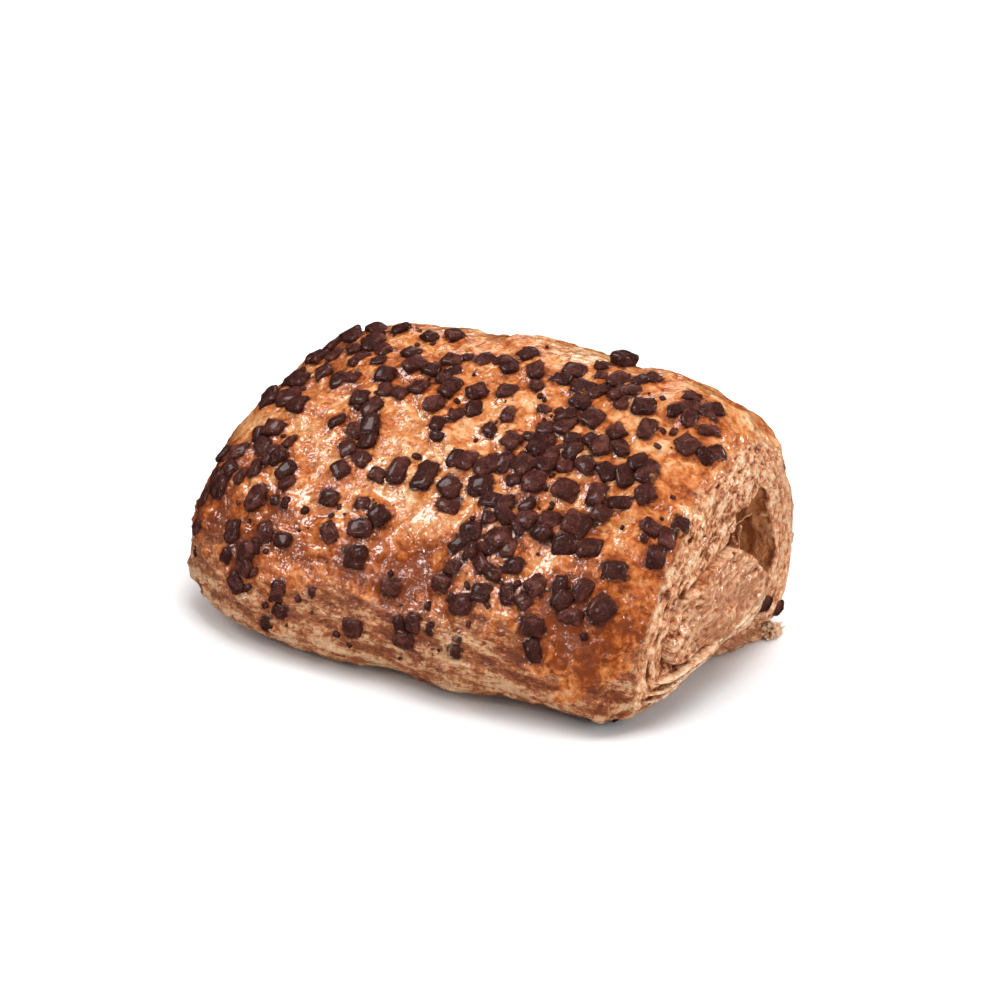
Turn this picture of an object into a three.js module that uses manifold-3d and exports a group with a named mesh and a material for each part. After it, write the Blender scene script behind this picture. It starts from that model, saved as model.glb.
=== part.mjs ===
// Chocolate chip puff pastry roll, millimetres, +Z up.
// X runs along the roll; +X is the end where the layers and a hollow between them show.
// The long side that shows its chips is -Y. Angles about the roll start at the top
// and are negative towards -Y.

import * as THREE from 'three';
import { mergeVertices } from 'three/addons/utils/BufferGeometryUtils.js';
import Module from 'manifold-3d';

const wasm = await Module();
wasm.setup();
const { Manifold, Mesh } = wasm;

// The roll: a rounded box that leans back, lower and blunter where it was cut
const leftLength = 54;
const rightLength = 52;
const halfWidth = 35.2;
const height = 50;
const axisHeight = 13.4;
const baseDepth = 14.7;
const topRoundness = 1.6;
const baseRoundness = 4;
const leftRoundness = 3;
const rightRoundness = 6.1;
const ridgeSoftness = 0.012;
const narrowing = 0.1;
const lean = 0.33;
const rollRings = 24;
const rollSides = 40;
const sideShare = 0.62;

// Soft unevenness of the crust
const waveHeight = 0.28;

// Swellings and dips of the crust: place along the roll, angle, reach, height
const swellings = [
  [-45, -8, 13, -1.2],
  [-50, -80, 12, 1],
  [-48, -40, 8, 0.7],
  [-18, -20, 14, 0.6],
  [-12, 10, 9, -0.3],
  [5, 12, 10, 1.2],
  [24, 8, 7, -0.4],
  [45, 6, 9, -1.2],
  [41, -18, 5, -0.7],
  [7, -78, 7, -1.5],
  [-9, -88, 8, -0.5],
  [28, -80, 12, 0.9],
  [-20, -72, 12, 0.5],
  [2, -106, 7, -1.2],
  [32, -108, 10, -1.6],
];

// Where the lower edge lifts off the table: place as [x, y], reach, height
const lifts = [
  [51, -7, 11, 6.5],
  [2, -36, 9, 1.6],
  [30, -35, 13, 2.2],
];

// The hollow between the inner fold and the wrap, outline as [y, z] on the cut end
const hollowOutline = [[-1.5, 26.5], [3, 30.5], [9, 32.5], [14.5, 29], [15.5, 23.5], [12, 16.5], [5.5, 21.5]];
const hollowDepth = 17;
const hollowTaper = 0.42;
const hollowSteps = 3;

// The inner fold: a wedge of dough that stands a little proud of the cut end
const foldOutline = [[-21, 12.5], [-15, 20.5], [-1.5, 25.6], [5.5, 20.5], [12.4, 14.6], [-4, 11.6]];
const foldProud = 1.8;

// Layer edges on the cut end, along its foot and round the wrap: start, bend and end
// as [y, z], thickness, proud
const layerEdges = [
  [[-29, 9.5], [-12, 9], [12.5, 14], 1.5, 2],
  [[-28, 6.4], [-8, 6.2], [11, 11.3], 1.5, 1.5],
  [[-24, 16], [-13, 31], [8, 39.5], 1.4, 1.3],
  [[9, 37.5], [25, 36], [19, 13], 1.4, 1.3],
];
const layerRoot = 43;

// The lowest layer, set back behind the lifted edge, and its frayed corner, outlines as [x, y]
const flapOutline = [[30, 0], [42.6, 5], [47, 13.5], [49.4, 20], [46, 26], [32, 26]];
const flapHeight = 6.6;
const frayOutline = [[43, 17.5], [49.5, 17], [51.4, 19.6], [50.6, 22.6], [44, 24]];
const frayLevel = [0.9, 3.4];

// Chips lie in clumps: place along the roll, angle, heading, how many, chip length
const clumps = [
  [-33.5, -3, 0, 3, 4.6], [-38, -8, 60, 3, 4.6], [-41.5, -15, 70, 2, 4.4], [-32, -10, -50, 2, 4.4],
  [-24.5, -3.5, -40, 1, 5], [-25.5, -11, -30, 4, 4.4], [-27, -17.5, -70, 4, 4.8], [-22, -20, 20, 1, 3.8],
  [-26, -26, 0, 2, 3.8], [-36.5, -14, -20, 3, 4], [-37, -23, 20, 4, 4.6], [-42, -22, 80, 1, 4.6],
  [-40, -33, 10, 2, 5.6], [-33.5, -37, -10, 1, 5.8], [-35.5, -46, 0, 1, 4.2], [-39.3, -48.5, 90, 1, 3.6],
  [-12.3, -4, -40, 1, 4], [-16.5, -7.5, -10, 1, 4], [-15.5, -17, -30, 2, 3.8], [-11, -24, 90, 3, 3.8],
  [-7, -17, -50, 2, 3.6], [-6.3, -22, 0, 1, 3.2], [-18.3, -24.8, 0, 1, 4.6], [-15.8, -29, -20, 2, 4],
  [-20.4, -33, 0, 1, 4.2], [-16, -37.5, 90, 3, 4.2], [-20, -41.5, 0, 3, 4], [-14.5, -47, 10, 3, 4.2],
  [-14.2, -53.5, 70, 2, 4], [-8.5, -54.5, 0, 1, 3.4], [-2.3, -53.5, 0, 2, 5.4], [-33.5, -53.5, -20, 3, 4],
  [-30, -50.5, 90, 1, 3], [-28, -58.5, -20, 2, 4.6], [-25.5, -63.5, -60, 2, 3.4], [-25, -68.5, 0, 2, 2.6],
  [-41.5, -55.5, 30, 1, 4], [-46.4, -56.5, 0, 1, 4.6], [-38.3, -62, 0, 4, 4], [-31.3, -69, 90, 1, 5.6],
  [-42.8, -67.5, 60, 2, 5], [-46.6, -71, 60, 2, 4.2], [-15.6, -64, 0, 1, 3.8], [-8, -63.5, 0, 1, 3.6],
  [-4, -65.5, -40, 1, 4.4], [-6.8, -69.8, 0, 1, 4.6], [-12.4, -73, -40, 1, 4], [-6, -77.6, 0, 1, 4.6],
  [-26, -77.3, -60, 1, 3.6], [-21.4, -78, 0, 1, 3.6], [-31.5, -82, -50, 2, 4.8], [-27, -81.5, 90, 1, 3.2],
  [-45, -84, 60, 1, 3.8], [2.8, -83.3, 0, 1, 3.6], [4.5, -6, -20, 1, 4.4], [5.5, -11.5, 10, 4, 4],
  [-1.2, -12, 0, 2, 4.2], [-5.7, -12.3, 0, 1, 2.6], [9, -19, 20, 3, 4], [-3.8, -26.5, 50, 2, 4.4],
  [2.5, -26.5, -50, 2, 3.6], [9.8, -28.5, 90, 1, 3.2], [-0.5, -34.5, 40, 2, 3.6], [-0.7, -40, 0, 1, 3.4],
  [10.8, -35.8, -20, 3, 4], [5, -45, 90, 1, 4], [10.5, -45, -10, 2, 4.6], [15.5, -43.5, 40, 2, 4.2],
  [17.8, -39.5, 60, 2, 4.6], [18, -47.2, 0, 1, 3.4], [22.8, -45, -60, 3, 4.2], [28, -46.3, 0, 1, 4.4],
  [21.5, 2.5, 90, 1, 4.8], [19.4, -4, -30, 1, 3.4], [29.6, -2, 0, 1, 3.4], [28.2, -7.5, -60, 2, 3.8],
  [21, -8, 0, 1, 2.4], [18, -12.5, -30, 5, 4], [23.5, -14, 50, 5, 4.2], [20.5, -21, 80, 2, 4],
  [29, -15.8, 80, 1, 3.2], [32.8, -15.5, 20, 1, 4.6], [25.2, -23.2, -10, 1, 4.4], [15.6, -23.6, 0, 1, 3],
  [24, -28.5, -40, 5, 4.2], [18.2, -29.5, 0, 1, 3.4], [23.5, -35.5, 0, 6, 3.8], [26, -40, 0, 1, 3.4],
  [16.3, -33.8, 0, 1, 2.6], [34, -30.8, -30, 6, 4.2], [32, -37.5, 0, 4, 4], [38, -42, 35, 7, 4.4],
  [35.4, -52, 40, 2, 4], [33.5, -58.5, -20, 8, 4.4], [9.5, -53, 0, 2, 5.2], [8, -57.8, 0, 1, 4.4],
  [15.6, -54.3, 0, 1, 5], [1.6, -49.5, -60, 2, 3.6], [20.5, -52.5, 0, 2, 3.6], [22, -56.8, 10, 3, 4],
  [17, -59, 0, 1, 3], [24.5, -61.5, 0, 5, 3.8], [14.3, -64, 0, 1, 4.2], [19.2, -65, 90, 1, 4.8],
  [27.8, -58.8, 0, 1, 2.8], [16, -69.5, 0, 3, 3.6], [14, -74, 0, 1, 4.2], [23.6, -68, -50, 2, 3.6],
  [22, -72.6, 0, 1, 3.8], [33.5, -71.5, 0, 4, 4], [39.5, -73.5, -10, 4, 4.4], [38, -78.7, 0, 1, 4],
  [26.5, -77, -20, 3, 3.6], [21, -78.3, 0, 1, 4.2], [17.8, -82.3, 0, 1, 4.4], [12.6, -79, 0, 1, 3.4],
  [42.6, -64.8, 20, 1, 4.4], [44.3, -15.5, 70, 4, 3.8], [48, -17, 70, 1, 3.6], [45.2, -22, 0, 2, 3.8],
  [38.7, -6, -40, 2, 3.4], [43.2, -3.5, 70, 1, 3.8], [43.2, -7.2, 0, 1, 3], [39.5, -12.5, -20, 2, 3.6],
  [36, -22, -60, 1, 4.4], [48.6, -45, 80, 1, 3.8], [45, -49.5, 0, 1, 3.8], [47.6, -53, 80, 2, 4.2],
  [32.7, -86.5, 90, 2, 4.2], [-30.5, -92, 80, 2, 4.4], [-34, -87.5, 60, 1, 2.6], [-19.5, -91.3, 80, 1, 3.6],
  [-12.8, -89.8, 90, 1, 2.4], [-18.7, -96.6, 0, 1, 3.4], [-2.7, -96, 0, 1, 4.2], [8.3, -90.3, 10, 2, 3.4],
  [8, -95.4, 0, 1, 4], [13, -90.2, 90, 1, 2.4], [18.8, -93.4, 90, 1, 3.6], [-21.8, -102.3, 30, 1, 3.2],
];
const chipSeed = 4368;
const chipRise = [1.3, 2.1];
const chipSunk = 1;
const endChipShare = 0.7;
const chipNarrow = [0.66, 0.9];
const clumpSpacing = 0.84;
const smallestChip = 3.45;

// Chips pressed between the layers of the cut end, as [x, y, z, size]
const seamChips = [
  [50.3, 11.4, 11.6, 3.6],
  [49.2, 19, 7, 3.4],
];

let seed = chipSeed;

function draw(low, high) {
  seed = (seed * 16807) % 2147483647;
  return low + (high - low) * (seed / 2147483647);
}

function degrees(angle) {
  return (angle * Math.PI) / 180;
}

// Distance from the axis to the crust in a section of the roll
function sectionRadius(angle) {
  const across = Math.sin(angle);
  const up = Math.cos(angle);
  const power = up >= 0 ? topRoundness : baseRoundness;
  const rise = up >= 0 ? height - axisHeight : baseDepth;
  const sideTerm = (across * across + ridgeSoftness) ** (power / 2) / halfWidth ** power;
  const riseTerm = Math.abs(up) ** power / rise ** power;
  return (sideTerm + riseTerm) ** (-1 / power);
}

// A point of the plain roll: share is 1 at full girth and 0 at the middle of an end
function rollPoint(x, share, angle) {
  const radius = sectionRadius(angle) * share;
  const z = Math.max(axisHeight + radius * Math.cos(angle), 0);
  const y = radius * Math.sin(angle) * (1 - (narrowing * x) / 108);
  return new THREE.Vector3(x, y + lean * (z - axisHeight), z);
}

function girthShare(x) {
  const length = x < 0 ? leftLength : rightLength;
  const power = x < 0 ? leftRoundness : rightRoundness;
  return Math.max(1 - Math.abs(x / length) ** power, 0) ** (1 / power);
}

function outward(point) {
  const axis = new THREE.Vector3(point.x * 0.7, 0, axisHeight);
  return point.clone().sub(axis).normalize();
}

const swellingPlaces = swellings.map(([x, angle]) => rollPoint(x, girthShare(x), degrees(angle)));

// The crust with its swellings, its waves and the lifted edge of the cut end
function swell(plain) {
  const point = plain.clone();
  const away = outward(plain);
  let push = 0;
  swellings.forEach(([, , reach, rise], index) => {
    push += rise * Math.exp(-((plain.distanceTo(swellingPlaces[index]) / reach) ** 2));
  });
  const waves = Math.sin(plain.x * 0.42 + 1.3) * Math.sin(plain.y * 0.37 + plain.z * 0.3)
    + 0.6 * Math.sin(plain.x * 0.21 - plain.y * 0.47 + 2) * Math.sin(plain.z * 0.52 + 0.7);
  const clearOfBase = Math.min(plain.z / 6, 1);
  point.addScaledVector(away, (push + waveHeight * waves) * clearOfBase);
  lifts.forEach(([x, y, reach, rise]) => {
    const apart = Math.hypot(plain.x - x, plain.y - y, plain.z);
    point.z += rise * Math.exp(-((apart / reach) ** 2)) * Math.max(1 - plain.z / 12, 0);
  });
  point.z = Math.max(point.z, 0);
  return point;
}

function crust(x, angle) {
  return swell(rollPoint(x, girthShare(x), angle));
}

function toManifold(geometry) {
  const bare = new THREE.BufferGeometry();
  bare.setAttribute('position', geometry.getAttribute('position'));
  if (geometry.index) bare.setIndex(geometry.index);
  const merged = mergeVertices(bare, 1e-4);
  const triangles = Array.from(merged.index.array);
  const kept = [];
  for (let i = 0; i < triangles.length; i += 3) {
    const [a, b, c] = triangles.slice(i, i + 3);
    if (a !== b && b !== c && c !== a) kept.push(a, b, c);
  }
  const mesh = new Mesh({
    numProp: 3,
    vertProperties: new Float32Array(merged.getAttribute('position').array),
    triVerts: new Uint32Array(kept),
  });
  return new Manifold(mesh);
}

// Rings are evenly spaced along the side and then in over the end; way runs from -1 to 1
function ringPlace(way) {
  const length = way < 0 ? leftLength : rightLength;
  const power = way < 0 ? leftRoundness : rightRoundness;
  const corner = 0.5 ** (1 / power);
  const far = Math.abs(way);
  if (far < sideShare) {
    const x = (far / sideShare) * corner * length;
    return { x: Math.sign(way) * x, share: girthShare(Math.sign(way) * x) };
  }
  const share = ((1 - far) / (1 - sideShare)) * corner;
  const rest = Math.max(1 - share ** power, 0) ** (1 / power);
  return { x: Math.sign(way) * length * rest, share: share < 1e-6 ? 0 : share };
}

// The roll is a sphere whose every point is moved onto the crust, or out past it by a skin
function makeRoll(skin) {
  const sphere = new THREE.SphereGeometry(1, rollSides, rollRings);
  sphere.rotateZ(-Math.PI / 2);
  const position = sphere.getAttribute('position');
  const direction = new THREE.Vector3();
  for (let i = 0; i < position.count; i += 1) {
    direction.fromBufferAttribute(position, i);
    const way = Math.asin(Math.min(Math.max(direction.x, -1), 1)) / (Math.PI / 2);
    const { x, share } = ringPlace(way);
    const angle = share < 1e-6 ? 0 : Math.atan2(direction.y, direction.z);
    const plain = rollPoint(x, share, angle);
    const point = swell(plain).addScaledVector(outward(plain), skin);
    position.setXYZ(i, point.x, point.y, Math.max(point.z, 0));
  }
  return toManifold(sphere);
}

function closedOutline(corners, samples) {
  const path = corners.map(([y, z]) => new THREE.Vector3(y, z, 0));
  const curve = new THREE.CatmullRomCurve3(path, true, 'centripetal');
  const points = curve.getPoints(samples).slice(0, samples);
  return new THREE.Shape(points.map((point) => new THREE.Vector2(point.x, point.y)));
}

// A shape drawn in [y, z] and run along x from one place to another
function runAlong(shape, from, to, steps, bevel) {
  const geometry = new THREE.ExtrudeGeometry(shape, {
    depth: to - from,
    steps,
    bevelEnabled: bevel > 0,
    bevelThickness: bevel,
    bevelSize: bevel,
    bevelOffset: -bevel,
    bevelSegments: 1,
  });
  const turn = new THREE.Matrix4().makeBasis(
    new THREE.Vector3(0, 1, 0),
    new THREE.Vector3(0, 0, 1),
    new THREE.Vector3(1, 0, 0),
  );
  geometry.applyMatrix4(turn);
  geometry.translate(from, 0, 0);
  return geometry;
}

// A shape drawn in [x, y] and raised between two levels
function slab(shape, bottom, top, bevel) {
  const geometry = new THREE.ExtrudeGeometry(shape, {
    depth: top - bottom - 2 * bevel,
    steps: 1,
    bevelThickness: bevel,
    bevelSize: bevel,
    bevelOffset: -bevel,
    bevelSegments: 1,
  });
  geometry.translate(0, 0, bottom + bevel);
  return geometry;
}

function makeHollow() {
  const mouth = rightLength + 6;
  const floor = rightLength - hollowDepth;
  const geometry = runAlong(closedOutline(hollowOutline, 14), floor, mouth, hollowSteps, 0);
  const centre = [8.5, 25];
  const position = geometry.getAttribute('position');
  for (let i = 0; i < position.count; i += 1) {
    const depth = Math.min(Math.max((rightLength - position.getX(i)) / hollowDepth, 0), 1);
    const scale = 1 - hollowTaper * depth ** 1.6;
    position.setY(i, centre[0] + (position.getY(i) - centre[0]) * scale);
    position.setZ(i, centre[1] + (position.getZ(i) - centre[1]) * scale);
  }
  return toManifold(geometry);
}

// A thin band along a bent line, drawn in [y, z]
function bandShape(start, bend, end, thickness) {
  const curve = new THREE.QuadraticBezierCurve(
    new THREE.Vector2(...start),
    new THREE.Vector2(...bend),
    new THREE.Vector2(...end),
  );
  const upper = [];
  const lower = [];
  for (let i = 0; i <= 5; i += 1) {
    const point = curve.getPoint(i / 5);
    const tangent = curve.getTangent(i / 5);
    const half = (thickness / 2) * (0.55 + 0.45 * Math.sin((Math.PI * i) / 5));
    upper.push(new THREE.Vector2(point.x - tangent.y * half, point.y + tangent.x * half));
    lower.push(new THREE.Vector2(point.x + tangent.y * half, point.y - tangent.x * half));
  }
  return new THREE.Shape([...lower, ...upper.reverse()]);
}

// What stands proud of the cut end follows its rounded surface
function proudOfEnd(shape, proud) {
  const column = toManifold(runAlong(shape, layerRoot, rightLength + 4, 1, 0));
  return column.intersect(makeRoll(proud));
}

function makeCutEnd() {
  const flap = toManifold(slab(closedOutline(flapOutline, 11), 0, flapHeight, 0.7));
  const fray = toManifold(slab(closedOutline(frayOutline, 8), ...frayLevel, 0.5));
  const edges = layerEdges.map(([start, bend, end, thickness, proud]) => {
    return proudOfEnd(bandShape(start, bend, end, thickness), proud);
  });
  return [flap, fray, proudOfEnd(closedOutline(foldOutline, 11), foldProud), ...edges];
}

// A chip is a thick flat drop with a rounded rectangular outline and its foot in the dough
function makeChip(centre, along, across, up, length, rise) {
  const width = length * draw(...chipNarrow);
  const points = [];
  const ring = (count, scale, level, start) => {
    for (let i = 0; i < count; i += 1) {
      const turn = start + (i / count) * Math.PI * 2;
      const cosine = Math.cos(turn);
      const sine = Math.sin(turn);
      const square = 1 / (cosine ** 4 + sine ** 4) ** 0.25;
      const uneven = draw(0.9, 1.08);
      const point = centre.clone();
      point.addScaledVector(along, (length / 2) * scale * square * uneven * cosine);
      point.addScaledVector(across, (width / 2) * scale * square * uneven * sine);
      point.addScaledVector(up, level);
      points.push(point.x, point.y, point.z);
    }
  };
  ring(4, 0.8, -chipSunk, Math.PI / 4);
  ring(4, 1.02, rise * 0.4, Math.PI / 4);
  ring(4, 0.74, rise, Math.PI / 4);
  const triangles = [0, 2, 1, 0, 3, 2, 8, 9, 10, 8, 10, 11];
  for (let i = 0; i < 4; i += 1) {
    const next = (i + 1) % 4;
    triangles.push(i, next, 4 + next, i, 4 + next, 4 + i);
    triangles.push(4 + i, 4 + next, 8 + next, 4 + i, 8 + next, 8 + i);
  }
  const mesh = new Mesh({
    numProp: 3,
    vertProperties: new Float32Array(points),
    triVerts: new Uint32Array(triangles),
  });
  return new Manifold(mesh);
}

// Position, directions and stretch of the crust at a place
function crustFrame(x, angle) {
  const step = 0.4;
  const turnStep = 0.012;
  const centre = crust(x, angle);
  const along = crust(x + step, angle).sub(crust(x - step, angle)).normalize();
  const around = crust(x, angle + turnStep).sub(crust(x, angle - turnStep));
  const stretch = around.length() / (2 * turnStep);
  const up = along.clone().cross(around).normalize();
  if (up.dot(outward(centre)) < 0) up.negate();
  const across = up.clone().cross(along).normalize();
  return { centre, along, across, up, stretch };
}

function makeChips() {
  const chips = [];
  clumps.forEach(([x, angle, heading, count, size]) => {
    const middle = crustFrame(x, degrees(angle));
    const turn = degrees(heading);
    const halfLong = count > 1 ? size * (0.34 + 0.2 * count ** 0.75) : 0;
    const halfShort = count > 1 ? size * (0.12 + 0.13 * (count - 1) ** 0.75) : 0;
    const taken = [];
    for (let i = 0; i < count; i += 1) {
      let u = 0;
      let v = 0;
      let clear = false;
      for (let attempt = 0; attempt < 60 && !clear; attempt += 1) {
        u = draw(-halfLong, halfLong);
        v = draw(-halfShort, halfShort);
        clear = taken.every(([a, b]) => Math.hypot(u - a, v - b) > size * clumpSpacing);
      }
      if (!clear && i > 0) continue;
      taken.push([u, v]);
      const shiftX = u * Math.cos(turn) - v * Math.sin(turn);
      const shiftUp = u * Math.sin(turn) + v * Math.cos(turn);
      const place = crustFrame(x + shiftX, degrees(angle) + shiftUp / middle.stretch);
      const length = size * draw(0.86, 1.12);
      const yaw = count > 1 ? draw(0, Math.PI) : turn + draw(-0.25, 0.25);
      const along = place.along.clone().applyAxisAngle(place.up, yaw);
      const across = place.up.clone().cross(along);
      const rise = draw(...chipRise) * Math.min(length / 3.8, 1.1) * (x < -44 ? endChipShare : 1);
      const chip = makeChip(place.centre, along, across, place.up, length, rise);
      if (length > smallestChip) chips.push(chip);
    }
  });
  seamChips.forEach(([x, y, z, size]) => {
    const up = new THREE.Vector3(1, 0.1, -0.1).normalize();
    const along = new THREE.Vector3(0, 1, -0.4).normalize();
    const across = up.clone().cross(along).normalize();
    chips.push(makeChip(new THREE.Vector3(x, y, z), along, across, up, size, 1.6));
  });
  return chips;
}

const roll = makeRoll(0);
const chips = makeChips();
const dough = Manifold.union([roll, ...makeCutEnd()]).subtract(makeHollow());
const whole = Manifold.union([dough, ...chips]);
const pieces = whole.decompose();
pieces.sort((a, b) => b.volume() - a.volume());
const solid = pieces[0];

// The frame stands at the middle of the base
const box = solid.boundingBox();
const shift = [-(box.min[0] + box.max[0]) / 2, -(box.min[1] + box.max[1]) / 2, -box.min[2]];
const result = solid.getMesh();
const geometry = new THREE.BufferGeometry();
geometry.setAttribute('position', new THREE.BufferAttribute(new Float32Array(result.vertProperties), 3));
geometry.setIndex(new THREE.BufferAttribute(new Uint32Array(result.triVerts), 1));
geometry.computeVertexNormals();

const crustMaterial = new THREE.MeshStandardMaterial({ color: 0xb8702f, roughness: 0.45, metalness: 0 });
const pastry = new THREE.Mesh(geometry, crustMaterial);
pastry.name = 'pastry';
pastry.position.set(...shift);

const group = new THREE.Group();
group.add(pastry);

export default group;
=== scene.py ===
# Chocolate chip puff pastry roll: one baked roll with a glazed crust, a layered cut end and chocolate chips.
# Every measure is in millimetres on the roll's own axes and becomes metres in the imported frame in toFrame().
# X runs along the roll, +X is the cut end, and angles about the roll start at the top, negative towards -Y.
import bpy
import bmesh
import math
import numpy as np
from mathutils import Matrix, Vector, noise


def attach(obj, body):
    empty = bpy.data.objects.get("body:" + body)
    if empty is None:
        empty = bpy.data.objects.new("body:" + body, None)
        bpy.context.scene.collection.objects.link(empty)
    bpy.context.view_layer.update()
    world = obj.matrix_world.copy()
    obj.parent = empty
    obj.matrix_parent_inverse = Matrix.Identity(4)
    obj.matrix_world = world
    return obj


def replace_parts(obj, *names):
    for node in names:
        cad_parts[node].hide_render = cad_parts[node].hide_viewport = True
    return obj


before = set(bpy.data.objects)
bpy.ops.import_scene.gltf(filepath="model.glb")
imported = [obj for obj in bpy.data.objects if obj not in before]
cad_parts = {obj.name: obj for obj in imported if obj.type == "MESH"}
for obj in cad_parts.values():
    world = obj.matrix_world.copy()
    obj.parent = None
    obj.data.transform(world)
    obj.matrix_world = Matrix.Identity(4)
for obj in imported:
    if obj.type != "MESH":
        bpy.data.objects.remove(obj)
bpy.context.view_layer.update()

roll = {
    "leftLength": 54, "rightLength": 52, "halfWidth": 35.2, "height": 50, "axisHeight": 13.4, "baseDepth": 14.7,
    "topRoundness": 1.6, "baseRoundness": 4, "leftRoundness": 3, "rightRoundness": 6.1,
    "ridgeSoftness": 0.012, "narrowing": 0.1, "lean": 0.33, "waveHeight": 0.28,
    "frameShift": (0.002, 1.065, 0),
    # place along the roll, angle, reach, height
    "swellings": [
        [-45, -8, 13, -1.2], [-50, -80, 12, 1], [-48, -40, 8, 0.7], [-18, -20, 14, 0.6], [-12, 10, 9, -0.3],
        [5, 12, 10, 1.2], [24, 8, 7, -0.4], [45, 6, 9, -1.2], [41, -18, 5, -0.7], [7, -78, 7, -1.5],
        [-9, -88, 8, -0.5], [28, -80, 12, 0.9], [-20, -72, 12, 0.5], [2, -106, 7, -1.2], [32, -108, 10, -1.6],
    ],
    # where the lower edge lifts off the table: x, y, reach, height
    "lifts": [[51, -7, 11, 6.5], [2, -36, 9, 1.6], [30, -35, 13, 2.2]],
}


def sectionRadius(angle):
    # distance from the axis to the crust, in a section of the roll
    across, up = np.sin(angle), np.cos(angle)
    power = np.where(up >= 0, roll["topRoundness"], roll["baseRoundness"])
    rise = np.where(up >= 0, roll["height"] - roll["axisHeight"], roll["baseDepth"])
    sideTerm = (across ** 2 + roll["ridgeSoftness"]) ** (power / 2) / roll["halfWidth"] ** power
    return (sideTerm + np.abs(up) ** power / rise ** power) ** (-1 / power)


def rollPoint(x, share, angle):
    # a point of the plain roll: share is 1 at full girth and 0 at the middle of an end
    radius = sectionRadius(angle) * share
    z = np.maximum(roll["axisHeight"] + radius * np.cos(angle), 0)
    y = radius * np.sin(angle) * (1 - roll["narrowing"] * x / 108)
    return np.stack([x + 0 * z, y + roll["lean"] * (z - roll["axisHeight"]), z], axis=-1)


def girthShare(x):
    length = np.where(x < 0, roll["leftLength"], roll["rightLength"])
    power = np.where(x < 0, roll["leftRoundness"], roll["rightRoundness"])
    return np.maximum(1 - np.abs(x / length) ** power, 0) ** (1 / power)


def outward(points):
    centre = points * (0.7, 0, 0) + (0, 0, roll["axisHeight"])
    away = points - centre
    return away / np.linalg.norm(away, axis=-1, keepdims=True)


def swell(plain):
    # the crust with its swellings, waves and lifted edges, as the solid has them
    x, y, z = plain[..., 0], plain[..., 1], plain[..., 2]
    push = 0
    for placeX, angle, reach, rise in roll["swellings"]:
        place = rollPoint(np.array(float(placeX)), girthShare(np.array(float(placeX))), math.radians(angle))
        push = push + rise * bell(np.linalg.norm(plain - place, axis=-1), 0, reach)
    waves = np.sin(x * 0.42 + 1.3) * np.sin(y * 0.37 + z * 0.3)
    waves = waves + 0.6 * np.sin(x * 0.21 - y * 0.47 + 2) * np.sin(z * 0.52 + 0.7)
    clearOfBase = np.minimum(z / 6, 1)
    points = plain + outward(plain) * ((push + roll["waveHeight"] * waves) * clearOfBase)[..., None]
    for liftX, liftY, reach, rise in roll["lifts"]:
        apart = np.sqrt((x - liftX) ** 2 + (y - liftY) ** 2 + z ** 2)
        points[..., 2] += rise * bell(apart, 0, reach) * np.maximum(1 - z / 12, 0)
    points[..., 2] = np.maximum(points[..., 2], 0)
    return points


def crustAt(x, angle):
    return swell(rollPoint(x, girthShare(x), angle))


def toFrame(points):
    return (points + np.array(roll["frameShift"])) * 0.001


def smooth(low, high, value):
    # 0 below low, 1 above high, and a soft step between them
    t = np.clip((value - low) / (high - low), 0, 1)
    return t * t * (3 - 2 * t)


def bell(value, middle, reach):
    # 1 at the middle, fading to 0 about twice the reach away from it
    return np.exp(-(((value - middle) / reach) ** 2))


def noiseAt(points, size, octaves=1, shift=0.0, stretch=(1, 1, 1)):
    # soft noise about -1 to 1 whose features are about size mm across
    places = (points * np.array(stretch) / size + shift).tolist()
    return np.array([noise.fractal(place, 0.9, 2.1, octaves, noise_basis="PERLIN_ORIGINAL") for place in places])


def columns(x, y, z):
    # three coordinates, or numbers, as points
    return np.stack(np.broadcast_arrays(x, y, z), axis=-1)


def cellsAt(points, size, shift=0.0):
    # distance to the nearest of scattered points, in cell sizes
    places = (points / size + shift).tolist()
    return np.array([noise.voronoi(place)[0][0] for place in places])


def readPoints(mesh):
    flat = np.empty(len(mesh.vertices) * 3)
    mesh.vertices.foreach_get("co", flat)
    return flat.reshape(-1, 3)


def writePoints(mesh, points):
    mesh.vertices.foreach_set("co", np.ascontiguousarray(points, dtype=np.float32).ravel())
    mesh.update()


def readNormals(mesh):
    flat = np.empty(len(mesh.vertices) * 3, dtype=np.float32)
    mesh.vertex_normals.foreach_get("vector", flat)
    return flat.reshape(-1, 3).astype(float)


def keepField(mesh, name, values):
    field = mesh.attributes.get(name) or mesh.attributes.new(name, "FLOAT", "POINT")
    field.data.foreach_set("value", np.ascontiguousarray(values, dtype=np.float32))


def keepDough(mesh, **given):
    # every field that the crust's material reads, 0 where it isn't given
    for name in ("browning", "foot", "skin", "cut", "layer", "deep", "raised", "onFold", "streak", "smear"):
        keepField(mesh, name, given.get(name, 0.0) + np.zeros(len(mesh.vertices)))


def meshFrom(name, bm):
    mesh = bpy.data.meshes.new(name)
    bm.to_mesh(mesh)
    bm.free()
    return mesh


def ballOf(name, sides, rings):
    # a round mesh, with the heading of every vertex and how far up it lies, 0 to 1 by rings
    bm = bmesh.new()
    bmesh.ops.create_uvsphere(bm, u_segments=sides, v_segments=rings, radius=1)
    mesh = meshFrom(name, bm)
    ball = readPoints(mesh)
    up = np.rint((np.degrees(np.arcsin(np.clip(ball[:, 2], -1, 1))) + 90) / 180 * rings) / rings
    return mesh, np.arctan2(ball[:, 0], ball[:, 1]), up


def newPiece(mesh, material):
    piece = bpy.data.objects.new(mesh.name, mesh)
    bpy.context.scene.collection.objects.link(piece)
    mesh.materials.append(material)
    mesh.polygons.foreach_set("use_smooth", [True] * len(mesh.polygons))
    return piece


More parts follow.
